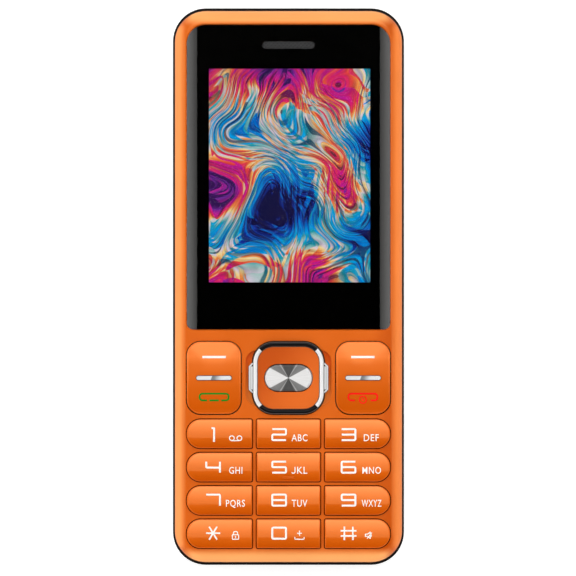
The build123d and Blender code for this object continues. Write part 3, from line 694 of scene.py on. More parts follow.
@dataclass(frozen=True)
class SpunFinish(Finish):
    """Spun metal with a painted reflection: bright sectors towards the sides and dark ones towards the top
    and bottom of the key.
    """

    # Painted reflection: grey levels by the angle from the key's middle line, bright towards the sides, dark
    # towards top and bottom
    reflection_fan: tuple[Point, ...] = (
        (0.0, 0.9), (0.30, 0.88), (0.335, 0.24), (0.60, 0.2), (0.63, 0.42), (0.665, 0.40), (0.69, 0.1),
        (0.72, 0.12), (0.75, 0.07), (1.0, 0.08),
    )
    streak_colour: Tint = (0.02, 0.02, 0.02, 1.0)
    streak_share: float = 0.12

    def paint(self, loom: Loom) -> dict[str, Wire | Tint]:
        """Wires the painted reflection sectors and the fine turning marks.

        Args:
            loom: The material's loom.

        Returns:
            What goes into the shader, by socket.
        """
        x, y, _ = loom.place()
        angle = (y - KEY_ROW_Y).abs().math("ARCTAN2", x.abs()) * (4 / TURN)
        # Painted reflection sectors
        reflection_fan = loom.ramp(angle, tuple((place, (grey, grey, grey * 1.01, 1.0)) for place, grey in self.reflection_fan))
        streak = loom.noise(loom.vector(angle * 60.0, x * 0.02, y * 0.02), 1.0, 3.0)
        return {
            "Base Color": loom.mix(streak.rise(0.2, 0.8) * self.streak_share, reflection_fan, self.streak_colour),
            "Roughness": streak * 0.1 + (self.roughness - 0.05),
            "Normal": loom.bump(streak, self.grain_depth, 0.4),
        }


@dataclass(frozen=True)
class BoardFinish(Finish):
    """Green board with lighter tracks and tinned pads."""

    track: Tint = (0.03, 0.22, 0.07, 1.0)
    pad: Tint = (0.6, 0.5, 0.25, 1.0)
    pad_turn: float = 2.6

    def ground(self, loom: Loom) -> Wire:
        """Draws tracks as level lines of a noise and pads on a grid.

        Args:
            loom: The material's loom.

        Returns:
            The colour before the unevenness.
        """
        x, y, z = loom.place()
        tracks = (loom.noise(loom.vector(x, y, z), 0.22, 0.0) * 60.0).math("SINE").rise(0.55, 0.75)
        pads = ((x * self.pad_turn).math("SINE") * (y * self.pad_turn).math("SINE")).rise(0.93, 0.96)
        return loom.mix(pads, loom.mix(tracks, self.colour, self.track), self.pad)


LENS_BLACK: Tint = (0.006, 0.006, 0.008, 1.0)
LENS_BLUE: Tint = (0.01, 0.02, 0.06, 1.0)
LENS_GREY: Tint = (0.12, 0.12, 0.13, 1.0)


@dataclass(frozen=True)
class TargetFinish(Finish):
    """Rings round an upright axis, for a lens barrel."""

    centre_y: float = 49.97
    reach: float = 4.0
    coat: float = 1.0
    coat_roughness: float = 0.0
    rings: Stops = (
        (0.0, LENS_BLACK), (0.1, LENS_BLUE), (0.24, LENS_BLUE), (0.26, LENS_GREY), (0.29, LENS_BLACK),
        (0.44, LENS_BLACK), (0.46, LENS_GREY), (0.5, LENS_BLACK), (1.0, LENS_BLACK),
    )

    def ground(self, loom: Loom) -> Wire:
        """Looks the distance from the axis up in the rings."""
        x, y, _ = loom.place()
        return loom.ramp(x.length(y - self.centre_y) * (1 / self.reach), self.rings)


@dataclass(frozen=True)
class SocketFinish(Finish):
    """Sheet steel shell round a dark tongue with gold contacts."""

    tongue_half_width: float = 1.96
    tongue_low: float = 6.1
    tongue_high: float = 6.8
    contact_pitch: float = 0.65
    plastic: Tint = (0.01, 0.01, 0.01, 1.0)
    gold: Tint = (0.7, 0.5, 0.2, 1.0)
    soft: float = 0.02

    def ground(self, loom: Loom) -> Wire:
        """Marks the tongue by its place and stripes it.

        Args:
            loom: The material's loom.

        Returns:
            The colour before the unevenness.
        """
        x, _, z = loom.place()
        tongue = x.abs().fall(self.tongue_half_width, self.tongue_half_width + self.soft)
        tongue = tongue * z.rise(self.tongue_low - self.soft, self.tongue_low)
        tongue = tongue * z.fall(self.tongue_high, self.tongue_high + self.soft)
        stripe = (x * (TURN / self.contact_pitch)).math("COSINE").rise(0.2, 0.3)
        return loom.mix(tongue, self.colour, loom.mix(stripe, self.plastic, self.gold))


@dataclass(frozen=True)
class PictureFinish(Finish):
    """A lit screen with flowing bands of colour, on the top face of the display only."""

    centre: Point = (0.25, 25.27)
    half_size: Point = (18.4, 24.4)
    top: Point = (10.9, 10.92)
    soft: float = 0.02
    unlit: Tint = (0.01, 0.01, 0.012, 1.0)
    ink: Tint = (0.012, 0.008, 0.05, 1.0)
    bend: float = 34.0
    wide_strokes: float = 7.0
    fine_strokes: float = 17.0
    middle_hue: float = 0.56

    def strokes(self, loom: Loom, flow: Wire, first: Wire, second: Wire, count: float) -> tuple[Wire, ...]:
        """Stretches cells along the flow, so that each of them becomes a stroke.

        Args:
            loom: The material's loom.
            flow: The value that is constant along a stroke.
            first: One place along it.
            second: Another place along it.
            count: How many strokes lie side by side per unit of flow.

        Returns:
            The way from each stroke's middle, and two chance values of the stroke.
        """
        where = loom.vector(flow * count + first * 0.6, first * 0.15, second * 0.15)
        cells = loom.node("ShaderNodeTexVoronoi", {"Vector": where, "Scale": 1.0})
        chance = loom.node("ShaderNodeSeparateColor", {0: loom.out(cells, "Color")})
        return loom.out(cells, "Distance"), loom.out(chance, 0), loom.out(chance, 1)

    def paint(self, loom: Loom) -> dict[str, Wire | Tint | float]:
        """Bends the place with noise, draws waves in it and breaks them into strokes.

        Args:
            loom: The material's loom.

        Returns:
            What goes into the shader, by socket.
        """
        x, y, z = loom.place()
        across, along = x - self.centre[0], y - self.centre[1]
        u = across + (loom.noise(loom.vector(across, along, 3.7), 0.055, 1.0) - 0.5) * self.bend
        v = along + (loom.noise(loom.vector(along, across, 9.1), 0.05, 1.0) - 0.5) * self.bend
        wave = (u * 0.17 + (v * 0.085).math("SINE") * 1.6).math("SINE")
        swell = (v * 0.15 - (u * 0.1).math("COSINE") * 1.1 + 0.8).math("SINE")
        flow = wave + swell * 0.8
        _, wide_chance, _ = self.strokes(loom, flow, u, v, self.wide_strokes)
        reach, fine_chance, ink_chance = self.strokes(loom, flow, v, u, self.fine_strokes)
        region = loom.noise(loom.vector(across, along, 21.3), 0.06, 0.0)
        hue = flow * 0.1 + (wide_chance - 0.5) * 0.3 + (fine_chance - 0.5) * 0.2 + (region - 0.5) * 1.7
        hue = hue - (across * 0.004 - along * 0.003) + self.middle_hue
        ink = ink_chance.rise(0.84, 0.9).max(reach.rise(0.35, 0.8) * 0.55)
        picture = loom.mix(ink * 0.8, loom.ramp(hue, PICTURE_SHADES), self.ink)
        face = z.rise(*self.top)
        for way, half in zip((across, along), self.half_size):
            face = face * way.abs().fall(half, half + self.soft)
        lit = loom.mix(face, BLACK, picture)
        return {"Base Color": self.unlit, "Emission Color": lit, "Emission Strength": 1.0}


# Finishes and values that several nodes share
# Side keys with painted light and shade up them
SIDE_KEYS = KeyFinish(
    "orange_side_key_painted_shading", ORANGE, 0.07, stops=SIDE_KEY_PAINTED_SHADING, low_y=-29.03, height=16.5, pitch=17.0,
    **GLOSS
)
# The bars' dark colour is a grey painted reflection band
BAR = {"shine": Shine.BAR, "dark": tint(90, 92, 92), "grain_depth": 0.004}
BAR_X = 16.975


class Wardrobe:
    """Hands out materials and makes each of them once."""

    SLOTS: dict[str, Finish] = {
        # The housing carries painted light and shade
        "orange_shell": ShellFinish("orange_shell_painted_shading", ORANGE, 0.22, **GLOSS),
        # Number keys with painted light and shade up them
        "orange_keys": KeyFinish("orange_key_painted_shading", ORANGE, 0.07, **GLOSS),
        "black_shell": Finish(
            "black_shell_grain", tint(10, 10, 11), 0.5, specular=0.2, grain=5.0, grain_depth=0.03
        ),
        "clear_window": GlassFinish(
            "clear_window_glass", WHITE, 0.0, 0.0, 1.0, 0.06, specular=0.0, unevenness=0.02, grain_depth=0.001
        ),
        "black_print": Finish("black_window_print", (0.0015, 0.0015, 0.0015, 1.0), 0.6),
        "black_foam": Finish("black_foam_pores", tint(30, 30, 32), 0.9, grain=10.0, grain_depth=0.06),
        "bright_steel": BrushedFinish("bright_steel_sheet", STEEL, 0.28),
        "white_plastic": Finish("white_moulding", tint(225, 225, 222), 0.45),
        "display_glass": PictureFinish("lit_display", tint(20, 20, 24), 0.4, specular=0.0),
        "flex_film": Finish("amber_flex_film", tint(176, 104, 22), 0.35, coat=0.5),
        "mesh_cloth": WovenFinish("black_speaker_cloth", tint(60, 60, 62), 0.8, grain=0.5, grain_depth=0.1),
        "chrome_trim": TrimFinish("bright_chrome", tint(238, 240, 242), 0.14, 1.0),
        "spun_metal": SpunFinish("spun_key_metal_painted_reflection", tint(200, 200, 202), 0.34, 0.3, grain_depth=0.003),
        "silicone": Finish("grey_silicone", tint(150, 152, 150), 0.6),
        "board_green": BoardFinish("green_board_mask", tint(12, 84, 40), 0.35, coat=0.6),
        "chip_black": Finish("black_chip_epoxy", tint(34, 34, 36), 0.55, grain_depth=0.01),
        "brass_coil": BrushedFinish("dull_brass", tint(196, 152, 84), 0.32),
        "camera_glass": TargetFinish("camera_glass_rings", tint(10, 12, 24), 0.05),
        "torch_clear": GlassFinish("torch_lens_clear", WHITE, 0.08, index=1.49, unevenness=0.04, grain=3.0),
        "cell_wrap": Finish("battery_wrap", tint(58, 62, 68), 0.38, coat=0.3),
        "antenna_copper": BrushedFinish("antenna_copper_foil", tint(200, 118, 72), 0.3, grain_depth=0.003),
    }

    # Nodes that don't look like the rest of their slot
    NODES: dict[str, Finish] = {
        "left_key": SIDE_KEYS,
        "right_key": SIDE_KEYS,
        # Plate with painted shade
        "nav_plate": PlateFinish("orange_plate_painted_shade", tint(230, 103, 30), 0.3, **GLOSS),
        # Ring with painted reflections
        "nav_ring": TrimFinish("chrome_ring_painted_reflection", BRIGHT, 0.16, 0.2, specular=0.2, shine=Shine.RING),
        # Wings with painted shade
        "nav_wings": TrimFinish("chrome_wing_painted_shade", BRIGHT, 0.16, 0.3, shine=Shine.WING),
        "left_key_bar": TrimFinish("chrome_left_bar_painted_reflection", BRIGHT, 0.2, 0.3, centre_x=-BAR_X, **BAR),
        "right_key_bar": TrimFinish("chrome_right_bar_painted_reflection", BRIGHT, 0.2, 0.3, centre_x=BAR_X, **BAR),
        "usb_port": SocketFinish("charging_socket_steel", STEEL, 0.3, 1.0),
        "earpiece_mesh": WovenFinish(
            "earpiece_wire_mesh", tint(46, 47, 49), 0.6, grain=0.9, grain_depth=0.05
        ),
        "camera_module": TargetFinish("camera_barrel_rings", tint(20, 20, 22), 0.12),
        "camera_window": GlassFinish("camera_window_clear", WHITE, 0.0, unevenness=0.02, grain_depth=0.001),
    }

    def __init__(self) -> None:
        """Starts with nothing made."""
        self.made: dict[str, bpy.types.Material] = {}

    def dress(self, piece: bpy.types.Object, finish: Finish) -> None:
        """Puts one material on all of a piece, and makes that material the first time.

        Args:
            piece: The piece.
            finish: Its finish.
        """
        if finish.name not in self.made:
            self.made[finish.name] = finish.build()
        piece.data.materials.clear()
        piece.data.materials.append(self.made[finish.name])

    def dress_nodes(self) -> None:
        """Dresses every solid by its slot, or by its own finish where it has one."""
        for part in frame["record"]["subparts"]:
            name = part["node"]
            finish = self.NODES.get(name, self.SLOTS[part["material_slot"]])
            self.dress(frame["nodes"][name], finish)
            LOG.info("dressed %s in %s", name, finish.name)


WARDROBE = Wardrobe()


# ---------------- printed marks


def placed(name: str, data: bpy.types.ID) -> bpy.types.Object:
    """Makes an object of some data and links it to the scene.

    Args:
        name: The object's name.
        data: Its mesh, curve or camera.

    Returns:
        The new object.
    """
    thing = bpy.data.objects.new(name, data)
    bpy.context.scene.collection.objects.link(thing)
    return thing


def make_piece(name: str, mesh: bmesh.types.BMesh, body: str, finish: Finish) -> bpy.types.Object:
    """Turns a bmesh into a dressed piece that rides on a body.

    Args:
        name: The piece's name.
        mesh: Its mesh, in metres, which is used up.
        body: The CAD body that it moves with.
        finish: Its finish.

    Returns:
        The new piece.
    """
    data = bpy.data.meshes.new(name)
    mesh.to_mesh(data)
    mesh.free()
    piece = placed(name, data)
    WARDROBE.dress(piece, finish)
    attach(piece, body)
    LOG.info("made %s with %d faces on %s", name, len(data.polygons), body)
    return piece


# How lines are divided: the radius of a sharp corner, the steps round a corner, the longest run and the
# shortest step, in millimetres
SHARP = 0.001
CORNER_STEPS = 6
RUN_LENGTH = 0.35
LEAST_STEP = 1e-4


def rounded_path(points: list[Point], radius: float) -> list[Vector]:
    """Rounds the corners of a line and divides its runs.

    Args:
        points: The corners, in millimetres; a line that ends where it starts is closed.
        radius: The radius at each corner.

    Returns:
        The points of the rounded line; a closed one doesn't repeat its first.
    """
    closed = points[0] == points[-1]
    corners = [Vector((x, y, 0)) for x, y in (points[:-1] if closed else points)]
    count = len(corners)
    path: list[Vector] = []
    for index, corner in enumerate(corners):
        if not closed and index in (0, count - 1):
            path.append(corner)
            continue
        before, after = corners[index - 1] - corner, corners[(index + 1) % count] - corner
        reach = min(radius, before.length / 2, after.length / 2)
        start, end = corner + before.normalized() * reach, corner + after.normalized() * reach
        for step in range(CORNER_STEPS + 1):
            share = step / CORNER_STEPS
            path.append(start.lerp(corner, share).lerp(corner.lerp(end, share), share))
    divided: list[Vector] = []
    for start, end in zip(path, path[1:] + path[:1] if closed else path[1:]):
        parts = max(1, math.ceil((end - start).length / RUN_LENGTH))
        divided += [start.lerp(end, part / parts) for part in range(parts)]
    if not closed:
        divided.append(path[-1])
    pairs = zip(divided[1:], divided)
    return divided[:1] + [point for point, other in pairs if (point - other).length > LEAST_STEP]


def circle_points(centre: Point, radius: float, count: int = 20) -> list[Point]:
    """Gives points round a circle, back to the first."""
    turns = [TURN * (index % count) / count for index in range(count + 1)]
    return [(centre[0] + radius * math.cos(turn), centre[1] + radius * math.sin(turn)) for turn in turns]


@dataclass
class Ink:
    """Prints marks on the top of one key and joins them into one piece that rides on it."""

    node: str
    relief: float = 0.025
    lift: float = 0.008
    letter_space: float = 1.12
    letter_weight: float = 0.006
    ray_height: float = 20.0

    def __post_init__(self) -> None:
        """Readies an empty mesh and the surface to print on."""
        target = frame["nodes"][self.node].data
        corners = [vertex.co.copy() for vertex in target.vertices]
        self.surface = BVHTree.FromPolygons(corners, [list(face.vertices) for face in target.polygons])
        self.mesh = bmesh.new()

    def line(self, points: list[Point], width: float, radius: float = SHARP) -> None:
        """Prints a line.

        Args:
            points: Its corners, in millimetres; a line that ends where it starts is closed.
            width: Its width.
            radius: The radius at its corners.
        """
        path = rounded_path(points, radius)
        data = bpy.data.curves.new("line", "CURVE")
        data.dimensions, data.bevel_depth, data.bevel_resolution = "3D", width / 2, 2
        data.use_fill_caps = True
        spline = data.splines.new("POLY")
        spline.points.add(len(path) - 1)
        for place, point in zip(spline.points, path):
            place.co = (*point, 1.0)
        spline.use_cyclic_u = points[0] == points[-1]
        self.take(data, self.relief * 2 / width)

    def words(self, text: str, low: Point, high: Point) -> None:
        """Prints characters that fill a box from their foot line up.

        Args:
            text: The characters.
            low: The box's lower left corner, in millimetres.
            high: Its upper right corner.
        """
        data = bpy.data.curves.new("words", "FONT")
        data.body, data.extrude, data.resolution_u = text, 0.5, 3
        data.space_character, data.offset = self.letter_space, self.letter_weight
        self.take(data, self.relief, (low, high))

    def take(self, data: bpy.types.Curve, squeeze: float, box: tuple[Point, Point] | None = None) -> None:
        """Turns a curve into a mesh, fits it into a box and adds it to the print.

        Args:
            data: The curve.
            squeeze: What its height is multiplied by.
            box: The box to fill, or None to leave it in place.
        """
        holder = placed("holder", data)
        bpy.context.view_layer.update()
        mesh = bpy.data.meshes.new_from_object(holder)
        bpy.data.objects.remove(holder)
        part = bmesh.new()
        part.from_mesh(mesh)
        bmesh.ops.remove_doubles(part, verts=part.verts, dist=LEAST_STEP)
        if box:
            (left, bottom), (right, top) = box
            start, end = (pick(vertex.co.x for vertex in part.verts) for pick in (min, max))
            height = max(vertex.co.y for vertex in part.verts)
            size = ((right - left) / (end - start), (top - bottom) / height, 1.0)
            bmesh.ops.translate(part, verts=part.verts, vec=(-start, 0.0, 0.0))
            bmesh.ops.scale(part, verts=part.verts, vec=size)
            bmesh.ops.translate(part, verts=part.verts, vec=(left, bottom, 0.0))
        bmesh.ops.scale(part, verts=part.verts, vec=(1.0, 1.0, squeeze))
        part.to_mesh(mesh)
        part.free()
        self.mesh.from_mesh(mesh)
        bpy.data.meshes.remove(mesh)

    def finish(self, name: str, finish: Finish) -> None:
        """Lays the print on the surface and makes it a piece.

        Args:
            name: The piece's name.
            finish: Its finish.
        """
        for vertex in self.mesh.verts:
            x, y = vertex.co.x * MM, vertex.co.y * MM
            hit = self.surface.ray_cast(Vector((x, y, self.ray_height * MM)), Vector((0, 0, -1)))[0]
            vertex.co = Vector((x, y, hit.z + (vertex.co.z + self.lift) * MM))
        bmesh.ops.recalc_face_normals(self.mesh, faces=self.mesh.faces)
        make_piece(name, self.mesh, self.node, finish)


WHITE_INK = Finish("white_key_ink", tint(252, 250, 246), 0.45, grain=14.0, unevenness=0.02)
GREEN_INK = Finish("green_key_ink", tint(0, 132, 20), 0.45, specular=0.2, grain=14.0)
RED_INK = Finish("red_key_ink", tint(250, 8, 2), 0.45, specular=0.2, grain=14.0)

# Lines of the figures on a box from 0 to 1, in the order of the keys; one that ends where it starts is closed
FIGURES: dict[str, list[list[Point]]] = {
    "1": [[(0, 1), (1, 1), (1, 0)]],
    "2": [[(0, 1), (1, 1), (1, 0.5), (0, 0.5), (0, 0), (1, 0)]],
    "3": [[(0, 1), (1, 1), (1, 0), (0, 0)], [(0, 0.5), (1, 0.5)]],
    "4": [[(0, 1), (0, 0.46), (1, 0.46)], [(1, 1), (1, 0)]],
    "5": [[(1, 1), (0, 1), (0, 0.5), (1, 0.5), (1, 0), (0, 0)]],
    "6": [[(1, 1), (0, 1), (0, 0), (1, 0), (1, 0.5), (0, 0.5)]],
    "7": [[(0, 1), (1, 1), (1, 0)]],
    "8": [[(0, 0), (0, 1), (1, 1), (1, 0), (0, 0)], [(0, 0.5), (1, 0.5)]],
    "9": [[(1, 0.5), (0, 0.5), (0, 1), (1, 1), (1, 0), (0, 0)]],
    "star": [[(0, 0.5), (1, 0.5)], [(0.22, 1), (0.78, 0)], [(0.78, 1), (0.22, 0)]],
    "0": [[(0, 0), (0, 1), (1, 1), (1, 0), (0, 0)]],
    "hash": [
        [(0.23, 1), (0.23, 0)], [(0.77, 1), (0.77, 0)], [(0, 0.69), (1, 0.69)], [(0, 0.31), (1, 0.31)],
    ],
}

# Letters of the keys with the left and right edge of each group, in millimetres; the J is a sign of the 5
LETTERS: dict[str, tuple[str, float, float]] = {
    "2": ("ABC", 0.70, 4.32),
    "3": ("DEF", 17.13, 20.54),
    "4": ("GHI", -13.51, -10.49),
    "5": ("KL", 1.96, 4.28),
    "6": ("MNO", 16.81, 21.04),
    "7": ("PQRS", -14.22, -9.90),
    "8": ("TUV", 0.75, 4.28),
    "9": ("WXYZ", 16.65, 21.16),
}

# Small signs: the middle of each across, and its lines from there and from the figure's foot, with the width
# and the corner radius of each line, in millimetres
THIN = 0.23
FINE = 0.184
SIGNS: dict[str, tuple[float, list[tuple[list[Point], float, float]]]] = {
    "1": (-12.02, [
        (circle_points((-0.86, 0.66), 0.54), THIN, 0.1),
        (circle_points((0.86, 0.66), 0.54), THIN, 0.1),
        ([(-0.86, 0.1), (0.86, 0.1)], THIN, SHARP),
    ]),
    "5": (1.14, [([(0.34, 1.55), (0.34, 0.115), (-0.34, 0.115), (-0.34, 0.365)], THIN, 0.4)]),
    "star": (-12.05, [
        ([(-0.7, 0.1), (-0.7, 1.12), (0.7, 1.12), (0.7, 0.1), (-0.7, 0.1)], THIN, 0.15),
        ([(-0.45, 1.12), (-0.45, 1.84), (0.45, 1.84), (0.45, 1.12)], THIN, 0.42),
        ([(0.0, 0.4), (0.0, 0.82)], 0.26, SHARP),
    ]),
    "0": (2.5, [
        ([(-1.05, 0.6), (-1.05, 0.1), (1.05, 0.1), (1.05, 0.6)], THIN, 0.15),
        ([(-0.55, 1.45), (0.55, 1.45)], THIN, SHARP),
        ([(0.0, 0.9), (0.0, 2.05)], THIN, SHARP),
    ]),
    "hash": (18.2, [
        ([(-0.7, 1.25), (-0.2, 1.25), (0.4, 1.72), (0.4, 0.28), (-0.2, 0.75), (-0.7, 0.75), (-0.7, 1.25)],
         THIN, 0.05),
        ([(0.75, 1.6), (-0.3, 0.25)], FINE, SHARP),
        ([(0.65, 1.2), (0.65, 0.6)], FINE, SHARP),
    ]),
}


@dataclass(frozen=True)
class FigureBox:
    """Where a figure's lines lie from the corner of its place, and their width, in millimetres."""

    across: float = 0.225
    up: float = 0.225
    width: float = 3.12
    height: float = 2.5
    stroke: float = 0.45
    corner: float = 0.3


# Figures that don't fill the usual box
BOXES: dict[str, FigureBox] = {
    "1": FigureBox(1.425, -0.155, 0.58, 3.08, corner=0.03),
    "star": FigureBox(0.18, 0.0, 3.2, 2.95, 0.37),
    "hash": FigureBox(0.0, -0.1, 3.6, 3.07, 0.37),
}


@dataclass
class KeyPad:
    """The twelve number keys and the print on them."""

    columns: tuple[float, ...] = (-18.93, -3.91, 11.88)
    rows: tuple[float, ...] = (-35.14, -42.55, -50.04, -57.56)
    letter_height: float = 1.55

    def build(self) -> None:
        """Prints every key: its figure, its letters and its sign."""
        for index, (name, lines) in enumerate(FIGURES.items()):
            row, column = divmod(index, len(self.columns))
            bottom, box = self.rows[row], BOXES.get(name, FigureBox())
            x, y = self.columns[column] + box.across, bottom + box.up
            ink = Ink("key_" + name)
            for line in lines:
                ink.line([(x + u * box.width, y + v * box.height) for u, v in line], box.stroke, box.corner)
            if name in LETTERS:
                text, left, right = LETTERS[name]
                ink.words(text, (left, bottom), (right, bottom + self.letter_height))
            across, sign = SIGNS.get(name, (0.0, []))
            for line, width, radius in sign:
                ink.line([(across + u, bottom + v) for u, v in line], width, radius)
            ink.finish("legend_" + name, WHITE_INK)


@dataclass
class SideKeys:
    """The two rocking keys beside the four-way key and the print on them."""

    centre_x: float = 16.92
    dash_y: float = -16.02
    dash_length: float = 5.85
    dash_width: float = 0.53
    mark_y: float = -25.12
    mark_length: float = 6.98
    mark_height: float = 1.93
    mark_stroke: float = 0.4
    answer_gap: float = 1.62
    answer_half: float = 1.07
    end_gap: float = 1.8
    end_radius: float = 0.8
    end_stroke: float = 0.28

    def build(self) -> None:
        """Prints both keys."""
        for body, x in (("left_key", -self.centre_x), ("right_key", self.centre_x)):
            ink, half = Ink(body), (self.dash_length - self.dash_width) / 2
            ink.line([(x - half, self.dash_y), (x + half, self.dash_y)], self.dash_width)
            ink.finish(body + "_dash", WHITE_INK)
        self.answer_mark()
        self.end_mark()

    def outline(self, ink: Ink, x: float, gap: float) -> float:
        """Prints a long bar's outline whose lower edge is open in the middle.

        Args:
            ink: The key's print.
            x: The mark's middle.
            gap: Half the length of the opening.

        Returns:
            Where the lower edge lies along the phone.
        """
        half, rise = (self.mark_length - self.mark_stroke) / 2, (self.mark_height - self.mark_stroke) / 2
        low, high = self.mark_y - rise, self.mark_y + rise
        ends = [(x + way * half, y) for way, y in ((-1, low), (-1, high), (1, high), (1, low))]
        ink.line([(x - gap, low), *ends, (x + gap, low)], self.mark_stroke, rise * 0.95)
        return low

    def answer_mark(self) -> None:
        """Prints the green mark on the left key."""
        ink, x = Ink("left_key"), -self.centre_x
        low = self.outline(ink, x, self.answer_gap)
        ink.line([(x - self.answer_half, low), (x + self.answer_half, low)], self.mark_stroke)
        ink.finish("answer_mark", GREEN_INK)

    def end_mark(self) -> None:
        """Prints the red mark on the right key."""
        ink, x = Ink("right_key"), self.centre_x
        low = self.outline(ink, x, self.end_gap)
        ink.line(circle_points((x, low + 0.15), self.end_radius), self.end_stroke, 0.1)
        ink.line([(x, low - 0.2), (x, low + 0.5)], self.end_stroke)
        ink.finish("end_mark", RED_INK)


@dataclass
class PowerPack:
    """The three contacts on the battery's end."""

    pitch: float = 2.6
    size: tuple[float, float, float] = (1.6, 0.05, 1.9)
    height: float = 4.4

    def build(self) -> None:
        """Makes the contacts."""
        low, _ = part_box("battery")
        mesh = bmesh.new()
        for step in (-1, 0, 1):
            made = bmesh.ops.create_cube(mesh, size=MM)["verts"]
            bmesh.ops.scale(mesh, verts=made, vec=self.size)
            centre = (step * self.pitch * MM, low.y - self.size[1] * MM / 2, self.height * MM)
            bmesh.ops.translate(mesh, verts=made, vec=centre)
        gold = BrushedFinish("gold_contacts", tint(214, 172, 92), 0.25, grain_depth=0.002)
        make_piece("battery_contacts", mesh, "battery", gold)


# ---------------- studio


@dataclass(frozen=True)
class SoftPanel:
    """A soft light in the sky, placed by its angle off the zenith and its heading, in degrees."""

    heading: float
    spread: float
    near: float
    far: float
    glow_near: float
    glow_far: float
    soft_near: float = 1.0
    soft_far: float = 6.0
    soft_side: float = 10.0

    def glow(self, x: Wire, y: Wire, tilt: Wire) -> Wire:
        """Gives how brightly the panel shines from a direction.

        Args:
            x: The direction across, where x and y make a line of length 1.
            y: The direction along.
            tilt: The angle off the zenith.

        Returns:
            The panel's glow, and 0 beside it.
        """
        turn = math.radians(self.heading)
        facing = (x * math.cos(turn) + y * math.sin(turn)).math("MINIMUM", 1.0).max(-1.0)
        aside = facing.math("ARCCOSINE") * (360 / TURN)
        mask = tilt.rise(self.near, self.near + self.soft_near)
        mask = mask * tilt.fall(self.far - self.soft_far, self.far)
        mask = mask * aside.fall(self.spread - self.soft_side, self.spread)
        slope = (self.glow_far - self.glow_near) / (self.far - self.near)
        return mask * (tilt * slope + (self.glow_near - slope * self.near))


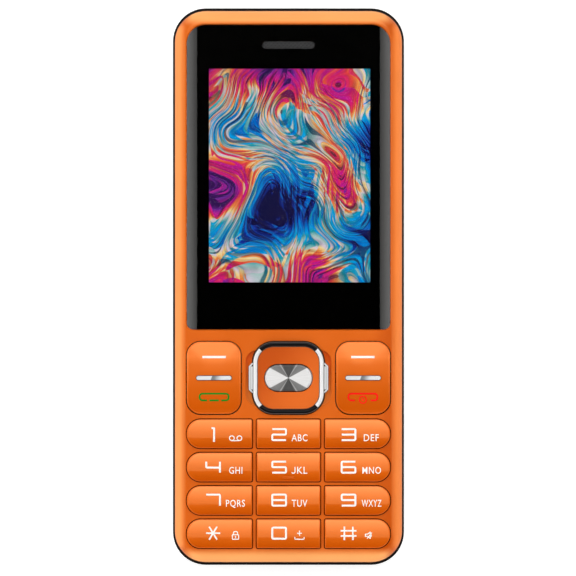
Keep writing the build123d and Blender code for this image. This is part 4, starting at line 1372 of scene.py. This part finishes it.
@dataclass
class Studio:
    """The floor, the sky that lights the phone, and the camera above it."""

    panels: tuple[SoftPanel, ...] = (
        SoftPanel(90.0, 52.0, 2.1, 34.0, 1.3, 4.8, 0.5),
        SoftPanel(0.0, 16.0, 9.3, 34.0, 0.5, 2.3, 0.6),
        SoftPanel(180.0, 16.0, 9.3, 34.0, 0.5, 2.4, 0.6),
        SoftPanel(90.0, 60.0, 38.0, 80.0, 2.5, 2.5, 14.0, 14.0, 30.0),
        SoftPanel(180.0, 50.0, 50.0, 100.0, 2.2, 2.2, 14.0, 10.0, 30.0),
        SoftPanel(270.0, 60.0, 46.0, 96.0, 2.3, 2.3, 14.0, 10.0, 30.0),
    )
    sky_from: Point = (34.0, 52.0)
    sky_glow: float = 1.05
    sky_colour: Tint = (1.0, 0.985, 0.965, 1.0)
    ground_from: Point = (90.0, 94.0)
    ground_glow: float = 0.9
    shine_loss: float = 0.55
    shine_from: Point = (40.0, 50.0)
    frame_width: float = 0.13104
    lens: float = 1000.0
    sensor: float = 36.0
    aim: Point = (-0.00011, -0.00032)
    face_height: float = 0.0128
    floor_half: float = 3.0
    floor_depth: float = 0.02
    floor_glow: float = 0.6

    def build(self) -> None:
        """Makes everything that isn't part of the phone."""
        self.sky()
        self.floor()
        self.camera()
        bpy.context.scene.view_settings.view_transform = "Standard"

    def sky(self) -> None:
        """Wires the world: soft panels, dimmer low down in reflections, and plain white for the camera."""
        world = bpy.data.worlds.new("studio_sky")
        bpy.context.scene.world = world
        loom = Loom.fresh(world)
        x, y, z = loom.axes("Generated")
        flat = x.length(y).max(1e-6)
        tilt = flat.math("ARCTAN2", z) * (360 / TURN)
        x, y = x.math("DIVIDE", flat), y.math("DIVIDE", flat)
        glow = tilt.rise(*self.sky_from) * self.sky_glow
        glow = glow + tilt.rise(*self.ground_from) * (self.ground_glow - self.sky_glow)
        for panel in self.panels:
            glow = glow.max(panel.glow(x, y, tilt))
        path = loom.node("ShaderNodeLightPath")
        shine = loom.out(path, "Is Glossy Ray") * tilt.rise(*self.shine_from)
        glow = glow * (shine * -self.shine_loss + 1.0)
        light = loom.wire("ShaderNodeBackground", {"Strength": glow, "Color": self.sky_colour})
        white = loom.wire("ShaderNodeBackground", {"Strength": 1.0, "Color": WHITE})
        mixed = loom.wire("ShaderNodeMixShader", {0: loom.out(path, "Is Camera Ray"), 1: light, 2: white})
        loom.node("ShaderNodeOutputWorld", {"Surface": mixed})

    def floor(self) -> None:
        """Makes a plain white floor that only the camera above it sees."""
        mesh = bmesh.new()
        bmesh.ops.create_grid(mesh, x_segments=1, y_segments=1, size=self.floor_half)
        bmesh.ops.translate(mesh, verts=mesh.verts, vec=(0.0, 0.0, -self.floor_depth * MM))
        data = bpy.data.meshes.new("floor")
        mesh.to_mesh(data)
        mesh.free()
        floor = placed("floor", data)
        material = bpy.data.materials.new("floor_white")
        data.materials.append(material)
        loom = Loom.fresh(material)
        sockets = {"Base Color": (0.8, 0.8, 0.8, 1.0), "Roughness": 0.9, "Specular IOR Level": 0.0}
        sockets |= {"Emission Color": WHITE, "Emission Strength": self.floor_glow}
        paper = loom.wire("ShaderNodeBsdfPrincipled", sockets)
        seen = loom.wire("ShaderNodeLightPath", key="Is Camera Ray")
        back = loom.wire("ShaderNodeNewGeometry", key="Backfacing")
        clear = loom.wire("ShaderNodeBsdfTransparent")
        mixed = loom.wire("ShaderNodeMixShader", {0: seen * back.flipped(), 1: clear, 2: paper})
        loom.node("ShaderNodeOutputMaterial", {"Surface": mixed})

    def camera(self) -> None:
        """Puts a long lens straight above the face."""
        data = bpy.data.cameras.new("camera")
        data.lens, data.sensor_width = self.lens, self.sensor
        camera = placed("camera", data)
        distance = self.frame_width * self.lens / self.sensor
        camera.location = (*self.aim, self.face_height + distance)
        bpy.context.scene.camera = camera


def main() -> None:
    """Dresses the solids, makes the pieces and builds the studio."""
    logging.basicConfig(level=logging.INFO, format="%(name)s: %(message)s")
    WARDROBE.dress_nodes()
    for assembly in (KeyPad(), SideKeys(), PowerPack(), Studio()):
        assembly.build()
        LOG.info("%s is done", type(assembly).__name__)


if __name__ == "__main__":
    main()
